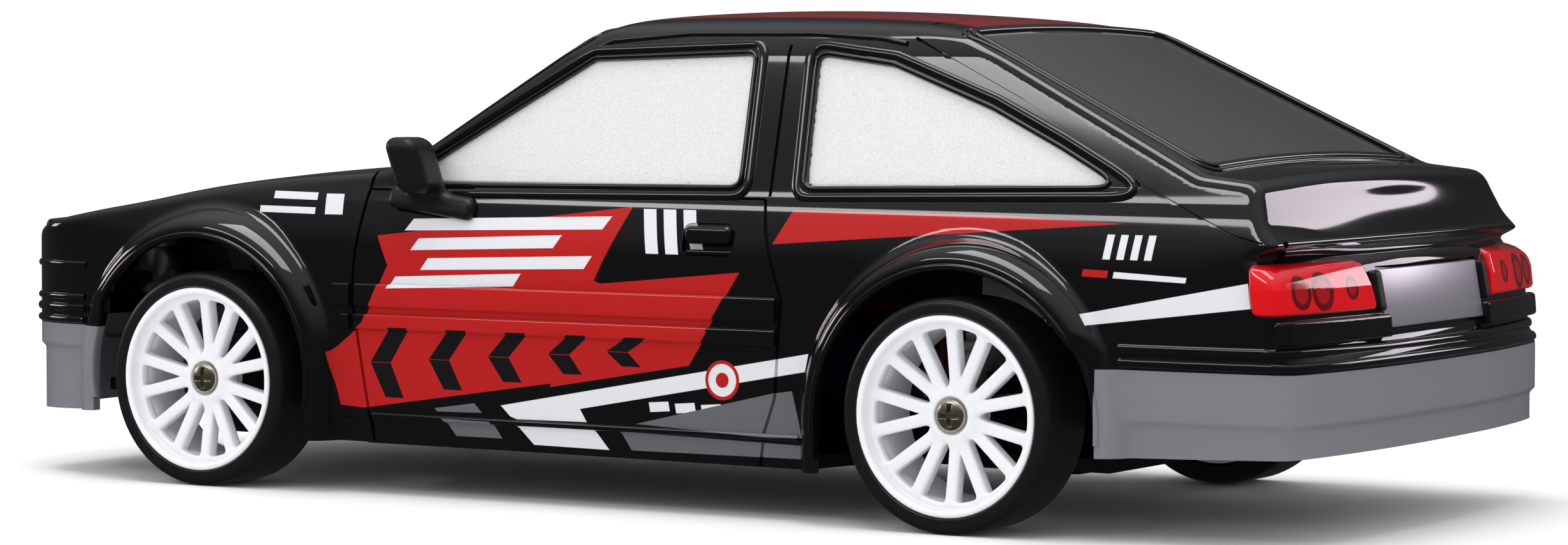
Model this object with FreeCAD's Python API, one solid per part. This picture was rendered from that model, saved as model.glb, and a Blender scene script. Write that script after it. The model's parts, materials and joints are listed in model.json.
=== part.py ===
import FreeCAD, Part
import math
import os
from FreeCAD import Vector

# 1:24 radio-controlled drift car: hard body shell on a four-wheel-drive chassis.
# Frame: +X forward, +Y left, +Z up, origin on the ground under the middle of the car. Millimetres.

# ---- Driving dimensions --------------------------------------------------------------------
wheelbase = 100.0
rear_overhang = 41.5
front_overhang = 33.5
tyre_radius = 12.5
tyre_width = 9.0
rim_radius = 10.7
body_half_width = 34.4
wheel_face_y = body_half_width + 2.6   # outer face of the tyres, from the centre plane
roof_z = 55.5
belt_z = 34.4
sill_z = 6.0
shell_wall = 1.2
running_gap = 0.05             # radial clearance of every turning fit
body_gap = 0.3                 # clearance between separate moving bodies

# ---- Wheels, steering and drive line ---------------------------------------------------------
kingpin_y = 24.5
kingpin_radius = 0.8
steering_arm = 8.5
stub_radius = 1.5
axle_radius = 1.5
cup_radius = 2.9
cup_bore = 1.9
ball_radius = 1.7
dogbone_radius = 1.0
gear_module = 0.5
pinion_teeth = 12
crown_teeth = 24
spur_teeth = 30
motor_pinion_teeth = 11
bevel_face = 2.0
spur_face = 3.0
shaft_radius = 1.25
wheel_screw_radius = 0.8
screw_head_radius = 1.75
hub_radius = 3.0
spokes = 14

# ---- Chassis and electrics ----------------------------------------------------------------------
floor_z = 5.6
floor_thickness = 1.5
nose_floor_z = 9.0              # the chassis is swept up at both ends
tail_floor_z = 10.0
tub_half_width = 18.0
gearbox_wall = 1.2
gearbox_gap = 0.7
cell_radius = 7.0
cell_length = 50.0
motor_width = 15.0
motor_height = 20.0
motor_length = 25.0
motor_shaft_radius = 0.75
post_radius = 2.6
post_hole_radius = 0.8
screw_length = 9.0
switch_travel = 2.0
socket_bore = 1.75
socket_depth = 6.0

# ---- Places that follow from the dimensions -------------------------------------------------
overall_length = rear_overhang + wheelbase + front_overhang
rear_x = rear_overhang - overall_length / 2
front_x = rear_x + wheelbase
axle_z = tyre_radius
floor_top = floor_z + floor_thickness
pinion_pitch = gear_module * pinion_teeth / 2
crown_pitch = gear_module * crown_teeth / 2
cone_distance = math.hypot(pinion_pitch, crown_pitch)
crown_outer = crown_pitch + gear_module
gearbox_inner = crown_outer + gearbox_gap
gearbox_outer = gearbox_inner + gearbox_wall
gearbox_half_width = 8.0
spur_pitch = gear_module * spur_teeth / 2
motor_pinion_pitch = gear_module * motor_pinion_teeth / 2
gear_centres = spur_pitch + motor_pinion_pitch
spur_x = rear_x + gearbox_outer + 4.0
motor_z = max(axle_z, floor_top + motor_height / 2)
motor_y = -math.sqrt(gear_centres ** 2 - (motor_z - axle_z) ** 2)
motor_x = spur_x + spur_face + 1.2
bar_x = front_x - steering_arm
servo_x = bar_x - steering_arm
cup_mouth_y = kingpin_y - 1.2
cup_back_y = kingpin_y + 2.8
knuckle_low = axle_z - 5.1
knuckle_high = axle_z + 4.9
arm_plate = 1.6
arm_half_width = 3.0
bar_z = knuckle_high + body_gap
bar_thickness = 1.5
wheel_inner_y = wheel_face_y - tyre_width
hub_inner_y = wheel_inner_y + 2.6
hub_face_y = wheel_face_y - 2.2


# ---- Small helpers ------------------------------------------------------------------------------
def box(x0, x1, y0, y1, z0, z1):
    return Part.makeBox(x1 - x0, y1 - y0, z1 - z0, Vector(x0, y0, z0))


def rod_x(x0, x1, y, z, r):
    return Part.makeCylinder(r, x1 - x0, Vector(x0, y, z), Vector(1, 0, 0))


def rod_y(y0, y1, x, z, r):
    return Part.makeCylinder(r, y1 - y0, Vector(x, y0, z), Vector(0, 1, 0))


def rod_z(z0, z1, x, y, r):
    return Part.makeCylinder(r, z1 - z0, Vector(x, y, z0), Vector(0, 0, 1))


def closed_wire(points):
    return Part.makePolygon(points + [points[0]])


def fuse(shapes):
    first = shapes[0]
    if len(shapes) == 1:
        return first
    return first.multiFuse(shapes[1:]).removeSplitter()


def cut(shape, tools):
    return shape.cut(Part.makeCompound(tools)) if len(tools) > 1 else shape.cut(tools[0])


def mirrored(shape):
    return shape.mirror(Vector(0, 0, 0), Vector(0, 1, 0))


def both_sides(shape):
    return [shape, mirrored(shape)]


def prism_y(points, y0, y1):
    face = Part.Face(closed_wire([Vector(x, y0, z) for x, z in points]))
    return face.extrude(Vector(0, y1 - y0, 0))


def prism_z(points, z0, z1):
    face = Part.Face(closed_wire([Vector(x, y, z0) for x, y in points]))
    return face.extrude(Vector(0, 0, z1 - z0))


def prism_x(points, x0, x1):
    face = Part.Face(closed_wire([Vector(x0, y, z) for y, z in points]))
    return face.extrude(Vector(x1 - x0, 0, 0))


def save(shape, name):
    solids = shape.Solids
    out = solids[0] if len(solids) == 1 else Part.makeCompound(solids)
    out.exportStep("parts/" + name + ".step")


# ---- Body shell -----------------------------------------------------------------------------------
def along(u):
    """X of a body station: 0 at the rear axle and 100 at the front one, overhangs in millimetres."""
    if u < 0:
        return rear_x + u * rear_overhang / 41.5
    if u > 100:
        return front_x + (u - 100) * front_overhang / 33.5
    return rear_x + u * wheelbase / 100


def up(t):
    """Height in the cabin: 0 at the belt line and 1 at the roof."""
    return belt_z + t * (roof_z - belt_z)


def side_outline():
    lower = [(-41.5, 18.0), (-41.5, 19.8), (-40.4, 20.8), (-40.0, 24.0), (-38.8, 29.4), (-36.2, 31.2)]
    deck = [(-34.6, 0.12), (-33.4, 0.19), (-26.5, 0.22), (6.0, 0.915)]
    roof = [(12.0, 0.955), (24.0, 0.99), (33.0, 1.0), (43.0, 0.99), (50.5, 0.955)]
    screen = [(75.5, 0.20), (79.0, 0.155)]
    hood = [(99.0, 36.0), (116.0, 32.9), (131.0, 29.2), (132.4, 27.8), (133.0, 21.4)]
    nose = [(133.5, 20.4), (133.5, 17.4), (132.9, 15.4), (132.1, 7.5)]
    points = [(along(u), z) for u, z in lower]
    points += [(along(u), up(t)) for u, t in deck + roof + screen]
    points += [(along(u), z) for u, z in hood + nose]
    bottom = [(116.6, 8.0), (111.0, sill_z), (83.0, sill_z)]
    bottom += [(18.0, sill_z - 0.3), (-9.0, sill_z - 0.3), (-17.0, 8.8)]
    points += [(along(u), z) for u, z in bottom + [(-40.6, 9.4)]]
    return points


def plan_outline():
    w = body_half_width
    rear = [(-41.5, 0.42 * w), (-40.6, 0.80 * w), (-38.6, 0.95 * w), (-36.5, 0.985 * w), (-28.0, w)]
    front = [(113.0, w), (122.0, 0.97 * w), (127.5, 0.915 * w), (130.8, 0.80 * w), (133.5, 0.42 * w)]
    half = [(along(u), y) for u, y in rear + front]
    return half + [(x, -y) for x, y in reversed(half)]


def section_outline():
    w = body_half_width
    right = [(w - 0.4, sill_z - 3.0), (w, sill_z + 5.0), (w, 22.0), (w - 0.9, 28.5), (w - 3.0, belt_z)]
    right += [(w - 3.5, belt_z + 0.8), (w - 9.2, up(0.77)), (w - 11.4, up(0.885))]
    right += [(w - 19.0, up(0.975)), (4.0, up(1.03))]
    return right + [(-y, z) for y, z in reversed(right)]


def inset_prism(points, plane, depth, inset):
    """The outline moved inwards by inset, as a prism across the car in the plane's third direction."""
    place = {"xz": lambda p: Vector(p[0], -depth, p[1]),
             "xy": lambda p: Vector(p[0], p[1], -depth),
             "yz": lambda p: Vector(-depth, p[0], p[1])}[plane]
    sweep = {"xz": Vector(0, 2 * depth, 0),
             "xy": Vector(0, 0, 2 * depth),
             "yz": Vector(2 * depth, 0, 0)}[plane]
    wire = closed_wire([place(p) for p in points])
    if inset:
        wire = wire.makeOffset2D(-inset, 2)
    return Part.Face(wire).extrude(sweep)


def body_volume(inset):
    """The car's outer volume, moved inwards by inset on the sides, ends and top."""
    reach = overall_length
    side = inset_prism(side_outline(), "xz", reach, inset)
    plan = inset_prism(plan_outline(), "xy", reach, inset)
    section = inset_prism(section_outline(), "yz", reach, inset)
    return side.common(plan).common(section)


def open_below(volume, inset):
    """The volume carried on downwards, so that cutting it leaves the shell open underneath."""
    bottom = box(along(-40.0) + inset, along(132.0) - inset, -body_half_width + inset + 0.6,
                 body_half_width - inset - 0.6, -20.0, 14.0)
    plan = inset_prism(plan_outline(), "xy", overall_length, inset)
    return volume.fuse(bottom.common(plan))


arch_lip = 2.6
arch_radius_rear = tyre_radius + 4.0
arch_radius_front = tyre_radius + 3.7
flare_y = wheel_face_y - 0.3
arches = [(rear_x - 0.4, axle_z - 1.0, arch_radius_rear), (front_x + 0.6, axle_z + 0.4, arch_radius_front)]


def flare(x, z, r):
    ring = rod_y(body_half_width - 2.0, flare_y, x, z, r + arch_lip)
    return ring.common(box(x - 3 * r, x + 3 * r, 0, 2 * flare_y, sill_z + 1.0, roof_z))


def door_window():
    return [(along(51.6), up(0.735)), (along(30.4), up(0.77)), (along(29.1), up(0.075)),
            (along(66.0), up(0.055)), (along(68.3), up(0.24))]


def quarter_window():
    return [(along(22.4), up(0.77)), (along(12.6), up(0.71)), (along(-0.6), up(0.49)),
            (along(-9.5), up(0.30)), (along(-17.6), up(0.11)), (along(20.9), up(0.075))]


def screen_window():
    half = [(along(74.0), body_half_width - 7.0), (along(53.5), body_half_width - 11.6)]
    return half + [(x, -y) for x, y in reversed(half)]


def hatch_window():
    half = [(along(4.8), body_half_width - 12.0), (along(-25.0), body_half_width - 8.8)]
    return half + [(x, -y) for x, y in reversed(half)]


lamp_low = 24.0
lamp_high = 29.2
lamp_inner_y = 15.6
lamp_front = along(-32.5)
plate_half_width = 12.0
grille_half_width = 7.0
head_lamp_inner = 10.0
post_places = [(along(-31.0), 15.0, tail_floor_z), (along(122.5), 13.0, nose_floor_z)]


def lamp_zone():
    return box(along(-60), lamp_front, lamp_inner_y, body_half_width + 5, lamp_low, lamp_high)


def head_lamp_zone():
    return box(along(128.5), along(140), head_lamp_inner, body_half_width - 6.0, 22.4, 26.4)


def grille_zone():
    return box(along(129.0), along(140), -grille_half_width, grille_half_width, 22.4, 26.4)


def plate_zone():
    return box(along(-60), along(-38.0), -plate_half_width, plate_half_width, 21.6, 28.4)


def window_tools():
    wide = body_half_width + 5
    tools = both_sides(prism_y(door_window(), 12.0, wide))
    tools += both_sides(prism_y(quarter_window(), 12.0, wide))
    tools.append(prism_z(screen_window(), up(0.12), roof_z + 5))
    tools.append(prism_z(hatch_window(), up(0.12), roof_z + 5))
    return tools


def screw_posts(inner):
    posts = [rod_z(low + floor_thickness, roof_z, x, y, post_radius) for x, y, low in post_places]
    posts += [mirrored(p) for p in posts]
    return [p.common(inner) for p in posts]


def screw_post_holes():
    holes = [rod_z(low, low + screw_length, x, y, post_hole_radius) for x, y, low in post_places]
    return holes + [mirrored(h) for h in holes]


def make_body():
    outer = body_volume(0)
    inner = body_volume(shell_wall)
    hollow = open_below(inner, shell_wall)
    skin = fuse([outer] + [s for a in arches for s in both_sides(flare(*a))])
    skin = skin.cut(hollow)
    openings = [s for x, z, r in arches for s in both_sides(rod_y(kingpin_y, wheel_face_y + 2, x, z, r))]
    zones = both_sides(lamp_zone()) + [plate_zone(), grille_zone()] + both_sides(head_lamp_zone())
    skin = cut(skin, openings + zones + window_tools())
    shell = fuse([skin] + screw_posts(inner))
    shell = cut(shell, screw_post_holes())
    save(max(shell.Solids, key=lambda s: s.Volume), "body_shell")
    save_body_inserts(outer, inner)


def save_body_inserts(outer, inner):
    glass = body_volume(0.3).cut(inner)
    wide = body_half_width + 5
    panes = {"door_window": prism_y(door_window(), 12.0, wide),
             "quarter_window": prism_y(quarter_window(), 12.0, wide)}
    for name, tool in panes.items():
        pane = glass.common(tool)
        save(pane, name + "_left")
        save(mirrored(pane), name + "_right")
    save(glass.common(prism_z(screen_window(), up(0.12), roof_z + 5)), "windscreen")
    save(glass.common(prism_z(hatch_window(), up(0.12), roof_z + 5)), "hatch_glass")
    skin = outer.cut(inner)
    lamp = skin.common(lamp_zone())
    save(lamp, "tail_lamp_left")
    save(mirrored(lamp), "tail_lamp_right")
    save(glass.common(plate_zone()), "plate_panel")
    save(glass.common(grille_zone()), "front_grille")
    save(Part.makeCompound([glass.common(z) for z in both_sides(head_lamp_zone())]), "headlamps")


def make_mirror():
    y0 = body_half_width - 3.3
    head_points = [(y0 + 0.3, 35.0), (y0 + 5.4, 35.2), (y0 + 5.6, 38.6), (y0 + 4.2, 41.0), (y0 - 0.2, 41.2)]
    foot_points = [(62.0, 33.2), (66.5, 32.0), (75.5, 34.2), (75.0, 35.2), (70.0, 38.0), (62.0, 35.4)]
    head = prism_x(head_points, along(65.0), along(71.5))
    foot = prism_y([(along(u), z) for u, z in foot_points], y0 - 2.0, y0 + 2.5)
    mirror = head.fuse(foot).cut(body_volume(0)).removeSplitter()
    mirror = max(mirror.Solids, key=lambda s: s.Volume)
    save(mirror, "door_mirror_left")
    save(mirrored(mirror), "door_mirror_right")


# ---- Wheels ----------------------------------------------------------------------------------------
def revolve_y(points, x, z):
    """A ring turned about the wheel's axle; the points are (radius, y)."""
    wire = closed_wire([Vector(x + r, y, z) for r, y in points])
    return Part.Face(wire).revolve(Vector(x, 0, z), Vector(0, 1, 0), 360)


def tyre(x):
    inner = wheel_inner_y
    outer = wheel_face_y
    shoulder = 0.7
    bead = 10.2
    points = [(bead, inner), (tyre_radius - shoulder, inner), (tyre_radius, inner + shoulder),
              (tyre_radius, outer - shoulder), (tyre_radius - shoulder, outer), (rim_radius, outer),
              (rim_radius, outer - 0.9), (bead, outer - 0.9)]
    return revolve_y(points, x, axle_z)


def rim(x):
    inner = wheel_inner_y
    face = wheel_face_y
    barrel_out = 10.2
    barrel_in = 9.4
    ring = revolve_y([(barrel_in, inner), (barrel_out, inner), (barrel_out, face - 0.9),
                      (rim_radius, face - 0.9), (rim_radius, face - 0.2), (barrel_in - 0.1, face - 0.4),
                      (barrel_in, face - 2.0)], x, axle_z)
    hub = revolve_y([(stub_radius, hub_inner_y), (hub_radius, hub_inner_y), (hub_radius, hub_face_y - 0.6),
                     (hub_radius - 0.4, hub_face_y), (wheel_screw_radius, hub_face_y),
                     (wheel_screw_radius, hub_face_y - 1.2), (stub_radius, hub_face_y - 1.2)], x, axle_z)
    web_edge = barrel_in + 0.3
    web = revolve_y([(2.9, face - 4.6), (web_edge, face - 5.4), (web_edge, face - 4.8), (2.9, face - 4.0)],
                    x, axle_z)
    arms = []
    pairs = spokes // 2
    for i in range(pairs):
        for lean in (-1, 1):
            root = 360 * i / pairs + 4.0 * lean
            tip = 360 * i / pairs + 180 / spokes * lean
            arms.append(spoke(x, root, tip, barrel_in))
    return fuse([ring, hub, web] + arms)


def spoke(x, root, tip, barrel_in):
    """One slim spoke from the hub to the rim, between two angles in degrees."""
    half_width = 0.5
    r0 = 2.2
    r1 = barrel_in + 0.3
    a = math.radians(root)
    b = math.radians(tip)
    start = Vector(r0 * math.cos(a), 0, r0 * math.sin(a))
    end = Vector(r1 * math.cos(b), 0, r1 * math.sin(b))
    along_spoke = (end - start).normalize()
    across = Vector(-along_spoke.z, 0, along_spoke.x) * half_width
    deep = Vector(0, -1.6, 0)
    base = Vector(x, hub_face_y - 0.2, axle_z)
    rise = Vector(0, wheel_face_y - 1.0 - hub_face_y, 0)
    corners = [base + start - across, base + start + across,
               base + end + across + rise, base + end - across + rise]
    top = Part.Face(closed_wire(corners))
    return top.extrude(deep)


def wheel_screw(x):
    head = revolve_y([(0, hub_face_y), (screw_head_radius, hub_face_y),
                      (screw_head_radius - 0.2, hub_face_y + 0.8), (0.9, hub_face_y + 1.1),
                      (0, hub_face_y + 1.1)], x, axle_z)
    shank = rod_y(hub_face_y - 4.4, hub_face_y + 0.2, x, axle_z, wheel_screw_radius)
    recess = [box(x - 1.05, x + 1.05, hub_face_y + 0.45, hub_face_y + 2, axle_z - 0.2, axle_z + 0.2),
              box(x - 0.2, x + 0.2, hub_face_y + 0.45, hub_face_y + 2, axle_z - 1.05, axle_z + 1.05)]
    return cut(head.fuse(shank).removeSplitter(), recess)


def screw_socket(x):
    return rod_y(hub_face_y - 4.4, hub_face_y, x, axle_z, wheel_screw_radius)


def make_wheels():
    for name, x in (("front", front_x), ("rear", rear_x)):
        pieces = {"tyre": tyre(x), "rim": rim(x), "wheel_screw": wheel_screw(x)}
        for piece, shape in pieces.items():
            save(shape, piece + "_" + name + "_left")
            save(mirrored(shape), piece + "_" + name + "_right")


# ---- Front corners ---------------------------------------------------------------------------------
def stub_axle():
    """Cup for the dogbone's ball, with two slots for its cross pin, and the stub for the wheel."""
    cup = rod_y(cup_mouth_y, cup_back_y, front_x, axle_z, cup_radius)
    stub = rod_y(cup_back_y - 0.2, hub_face_y - 1.2, front_x, axle_z, stub_radius)
    bore = rod_y(cup_mouth_y - 1, kingpin_y + 1.9, front_x, axle_z, cup_bore)
    slots = box(front_x - 0.6, front_x + 0.6, cup_mouth_y - 1, kingpin_y + 1.7, axle_z - 4, axle_z + 4)
    return cut(cup.fuse(stub).removeSplitter(), [bore, slots, screw_socket(front_x)])


def knuckle():
    half = 4.3
    block = box(front_x - half, front_x + half, kingpin_y - 2.3, cup_back_y + body_gap,
                knuckle_low, knuckle_high)
    boss = rod_y(cup_back_y, hub_inner_y - 0.3, front_x, axle_z, stub_radius + 2.0)
    arm = box(front_x - steering_arm - 1.5, front_x - half + 0.2, kingpin_y - 1.5, kingpin_y + 1.5,
              knuckle_high - 2.0, knuckle_high)
    pin = rod_z(knuckle_high - 1.0, bar_z + bar_thickness - 0.1, front_x - steering_arm, kingpin_y, 0.75)
    cup_room = rod_y(kingpin_y - 4, cup_back_y + 0.3, front_x, axle_z, cup_radius + body_gap)
    stub_room = rod_y(cup_back_y - 1, hub_inner_y + 1, front_x, axle_z, stub_radius + running_gap)
    pin_room = rod_z(knuckle_low - 1, knuckle_high + 1, front_x, kingpin_y, kingpin_radius + running_gap)
    return cut(fuse([block, boss, arm, pin]), [cup_room, stub_room, pin_room])


def kingpins():
    bottom = knuckle_low - body_gap - arm_plate
    low = rod_z(bottom, axle_z - cup_radius - 0.7, front_x, kingpin_y, kingpin_radius)
    top = knuckle_high + body_gap + arm_plate
    high = rod_z(axle_z + cup_radius + 0.7, top, front_x, kingpin_y, kingpin_radius)
    return Part.makeCompound(both_sides(low) + both_sides(high))


def dogbone():
    """Drive shaft from the front spool to the steered wheel: a ball with a cross pin at each end."""
    shaft = rod_y(spool_end_y - 1.6, kingpin_y, front_x, axle_z, dogbone_radius)
    balls = [Part.makeSphere(ball_radius, Vector(front_x, y, axle_z)) for y in (spool_end_y - 1.6, kingpin_y)]
    pins = [rod_z(axle_z - 2.4, axle_z + 2.4, front_x, y, 0.4) for y in (spool_end_y - 1.6, kingpin_y)]
    return fuse([shaft] + balls + pins)


spool_end_y = gearbox_half_width + 4.4


def front_spool():
    """Cross tube of the front drive. Each end is a cup that holds one dogbone."""
    tube = rod_y(-spool_end_y, spool_end_y, front_x, axle_z, 2.6)
    ball_y = spool_end_y - 1.6
    cup = rod_y(ball_y - ball_radius, spool_end_y + 1, front_x, axle_z, ball_radius)
    pin_slot = box(front_x - 0.4, front_x + 0.4, ball_y - 0.4, spool_end_y + 1, axle_z - 4, axle_z + 4)
    return cut(tube, both_sides(cup) + both_sides(pin_slot))


def tie_bar():
    end_lo = bar_x - 1.6
    end_hi = front_x - steering_arm * math.cos(math.radians(25)) + 1.9
    reach = kingpin_y + 1.6
    middle = box(bar_x - 2.6, front_x - 6.9, -reach, reach, bar_z, bar_z + bar_thickness)
    ends = both_sides(box(end_lo - 0.4, end_hi, kingpin_y - 2.0, reach, bar_z, bar_z + bar_thickness))
    slot_half = 0.75 + running_gap
    slots = both_sides(slot(bar_x, bar_x + 0.85, kingpin_y, slot_half))
    slots.append(slot(bar_x - 0.85, bar_x, 0, slot_half))
    return cut(fuse([middle] + ends), slots)


def slot(x0, x1, y, half):
    """Slot along X through the tie bar, with round ends."""
    low = bar_z - 1
    high = bar_z + bar_thickness + 1
    ends = [rod_z(low, high, x, y, half) for x in (x0, x1)]
    return fuse(ends + [box(x0, x1, y - half, y + half, low, high)])


# ---- Gears ---------------------------------------------------------------------------------------
def spur_gear(x, y, z, teeth, face, bore, start):
    """Plain gear on an X axis. Its teeth are thinned a little for backlash."""
    pitch = gear_module * teeth / 2
    tip = pitch + 0.85 * gear_module
    root = pitch - 1.15 * gear_module
    step = 2 * math.pi / teeth
    points = []
    for i in range(teeth):
        middle = start + i * step
        for r, share in ((root, -0.36), (tip, -0.12), (tip, 0.12), (root, 0.36)):
            a = middle + share * step
            points.append(Vector(x, y + r * math.cos(a), z + r * math.sin(a)))
    gear = Part.Face(closed_wire(points)).extrude(Vector(face, 0, 0))
    return gear.cut(rod_x(x - 1, x + face + 1, y, z, bore))


def bevel_gear(apex, axis, across, teeth, mate_teeth, start, hub_radius, hub_length, bore):
    """Straight bevel gear whose teeth point at the apex. Axis points from the apex to the gear's back."""
    pitch_angle = math.atan2(teeth, mate_teeth)
    third = axis.cross(across)
    far = cone_distance
    near = cone_distance - bevel_face
    root_angle = pitch_angle - 0.60 * gear_module / cone_distance
    tip_angle = pitch_angle + 0.42 * gear_module / cone_distance
    step = 2 * math.pi / teeth

    def point(distance, cone, turn):
        r = distance * math.sin(cone)
        spread = across * (r * math.cos(turn)) + third * (r * math.sin(turn))
        return apex + axis * (distance * math.cos(cone)) + spread

    solids = [root_cone(apex, axis, near, far, root_angle, hub_radius, hub_length)]
    for i in range(teeth):
        turn = start + i * step
        ends = []
        for distance in (near, far):
            low = [point(distance, root_angle - 0.02, turn + s * 0.30 * step) for s in (-1, 1)]
            high = [point(distance, tip_angle, turn + s * 0.13 * step) for s in (1, -1)]
            ends.append(low + high)
        solids.append(hexahedron(ends[0], ends[1]))
    gear = fuse(solids)
    return gear.cut(Part.makeCylinder(bore, 3 * cone_distance, apex, axis))


def root_cone(apex, axis, near, far, angle, hub_radius, hub_length):
    """The gear's body under its teeth, with a hub behind."""
    near_axial = near * math.cos(angle)
    far_axial = far * math.cos(angle)
    cone = Part.makeCone(near * math.sin(angle), far * math.sin(angle), far_axial - near_axial,
                         apex + axis * near_axial, axis)
    hub = Part.makeCylinder(hub_radius, hub_length, apex + axis * far_axial, axis)
    return cone.fuse(hub)


def hexahedron(a, b):
    """Solid between two four-sided ends."""
    faces = [Part.Face(closed_wire(a)), Part.Face(closed_wire(b))]
    for i in range(4):
        j = (i + 1) % 4
        faces.append(Part.Face(closed_wire([a[i], a[j], b[j], b[i]])))
    return Part.makeSolid(Part.makeShell(faces))


def make_drive_line():
    rear_apex = Vector(rear_x, 0, axle_z)
    front_apex = Vector(front_x, 0, axle_z)
    half_crown = math.pi / crown_teeth
    y_axis = Vector(0, 1, 0)
    x_axis = Vector(1, 0, 0)
    crown_hub = 1.4
    crown_back = 4.5
    spool_radius = 2.6
    save(bevel_gear(rear_apex, y_axis, x_axis, crown_teeth, pinion_teeth, half_crown, crown_back, crown_hub,
                    axle_radius), "crown_gear_rear")
    save(bevel_gear(front_apex, -y_axis, -x_axis, crown_teeth, pinion_teeth, half_crown, crown_back,
                    crown_hub, spool_radius), "crown_gear_front")
    pinion_back = 2.2
    pinion_hub = 0.9
    save(bevel_gear(rear_apex, x_axis, y_axis, pinion_teeth, crown_teeth, 0, pinion_back, pinion_hub,
                    shaft_radius), "bevel_pinion_rear")
    save(bevel_gear(front_apex, -x_axis, -y_axis, pinion_teeth, crown_teeth, 0, pinion_back, pinion_hub,
                    shaft_radius), "bevel_pinion_front")
    near = (cone_distance - bevel_face) * math.cos(math.atan2(pinion_teeth, crown_teeth))
    save(rod_x(rear_x + near, front_x - near, 0, axle_z, shaft_radius), "center_shaft")
    save(spur_gear(spur_x, 0, axle_z, spur_teeth, spur_face, shaft_radius, spur_start), "spur_gear")
    save(spur_gear(spur_x, motor_y, motor_z, motor_pinion_teeth, spur_face, motor_shaft_radius, pinion_start),
         "motor_pinion")
    save(rod_x(spur_x - 0.4, motor_x + 2.8, motor_y, motor_z, motor_shaft_radius), "motor_shaft")
    shaft = rod_y(-hub_face_y + 1.2, hub_face_y - 1.2, rear_x, axle_z, axle_radius)
    save(cut(shaft, both_sides(screw_socket(rear_x))), "rear_axle")
    save(front_spool(), "front_spool")


mesh_angle = math.atan2(motor_z - axle_z, motor_y)
spur_start = mesh_angle
pinion_start = mesh_angle + math.pi + math.pi / motor_pinion_teeth


# ---- Chassis ---------------------------------------------------------------------------------------
sill_half_width = body_half_width - 3.4
axle_tub_half_width = 19.0
cradle_wall = 1.2
cell_y = cell_radius + 2.2
cell_z = floor_top + cell_radius + 0.2
cell_x0 = motor_x
cover_x0 = cell_x0 + 2.0
cover_x1 = cell_x0 + cell_length - 2.0
board_x0 = motor_x + motor_length + 3.0
board_length = 20.0
board_z = floor_top + 3.0
socket_x = board_x0 + 5.0
socket_y = -24.0
switch_x = board_x0 - 14.0
switch_y = -25.0


def mirrored_outline(half):
    return half + [(x, -y) for x, y in reversed(half)]


def floor_plates():
    """Flat floor between the axles, with a raised shelf behind the rear axle and ahead of the front one."""
    wheel_rear = tyre_radius + 2.5
    wheel_front = tyre_radius + 5.0
    tub = axle_tub_half_width
    riser = 1.5
    tail_x = rear_x - gearbox_outer - 2.0
    nose_x = front_x + gearbox_outer + 2.0
    middle = [(tail_x, tub), (rear_x + wheel_rear + 1, tub), (rear_x + wheel_rear + 4, sill_half_width),
              (front_x - wheel_front - 3, sill_half_width), (front_x - wheel_front, tub), (nose_x, tub)]
    plates = [prism_z(mirrored_outline(middle), floor_z, floor_top)]
    plates.append(box(along(-37.0), tail_x + riser, -tub, tub, tail_floor_z, tail_floor_z + floor_thickness))
    plates.append(box(tail_x, tail_x + riser, -tub, tub, floor_z, tail_floor_z + floor_thickness))
    plates.append(box(nose_x - riser, along(128.0), -tub, tub, nose_floor_z, nose_floor_z + floor_thickness))
    plates.append(box(nose_x - riser, nose_x, -tub, tub, floor_z, nose_floor_z + floor_thickness))
    return plates


def gearbox_half(x, low_z, high_z):
    """Block of the gear housing between two heights, round about the axle."""
    round_part = rod_y(-gearbox_half_width, gearbox_half_width, x, axle_z, gearbox_outer)
    return round_part.common(box(x - 12, x + 12, -20, 20, low_z, high_z))


def gearbox_room(x):
    """Space inside the gear housing for the crown gear and the pinion."""
    side = 1 if x == rear_x else -1
    wall = gearbox_half_width - gearbox_wall
    room = [rod_y(-wall, wall, x, axle_z, gearbox_inner)]
    reach = 12.0
    x0 = min(x, x + side * reach)
    room.append(rod_x(x0, x0 + reach, 0, axle_z, pinion_pitch + 1.2))
    return room


def axle_rooms():
    return [rod_y(-40, 40, rear_x, axle_z, axle_radius + running_gap),
            rod_y(-40, 40, front_x, axle_z, 2.6 + running_gap)]


def shaft_bearings():
    """Three pillars that carry the centre shaft."""
    pillar = min(3.0, cell_y - cell_radius - 0.3)
    return [box(x, x + 2.0, -3.0, pillar, floor_top - 0.2, axle_z + 3.0) for x in bearing_places()]


def bearing_places():
    return [rear_x + gearbox_outer + 0.9, cell_x0 + cell_length - 0.1, motor_x + motor_length + 0.4]


def lower_arms():
    z0 = knuckle_low - body_gap - arm_plate
    inner = axle_tub_half_width - arm_half_width
    arm = box(front_x - arm_half_width, front_x + arm_half_width, inner, kingpin_y + 1.8, z0, z0 + arm_plate)
    web = box(front_x - arm_half_width, front_x + arm_half_width, inner, axle_tub_half_width,
              min(z0, floor_z), max(z0 + arm_plate, floor_top))
    return both_sides(arm) + both_sides(web)


def cradle_walls():
    """Upright ribs of the tub: both sides of the cell, the motor and the board."""
    x0 = motor_x - 1.0
    x1 = cell_x0 + cell_length + 1.0
    high = floor_top + 5.0
    walls = [box(x0, x1, y - cradle_wall / 2, y + cradle_wall / 2, floor_top - 0.2, high)
             for y in (cell_y + cell_radius + 0.9, cell_y - cell_radius - 0.9)]
    walls.append(box(x0, x1, -tub_half_width - cradle_wall, -tub_half_width, floor_top - 0.2, high))
    walls.append(box(cell_x0 + cell_length + 0.3, cell_x0 + cell_length + 1.5, cell_y - cell_radius - 0.9,
                     cell_y + cell_radius + 0.9, floor_top - 0.2, high))
    walls.append(box(cell_x0 - 1.5, cell_x0 - 0.3, cell_y - cell_radius - 0.9, cell_y + cell_radius + 0.9,
                     floor_top - 0.2, high))
    return walls


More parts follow.
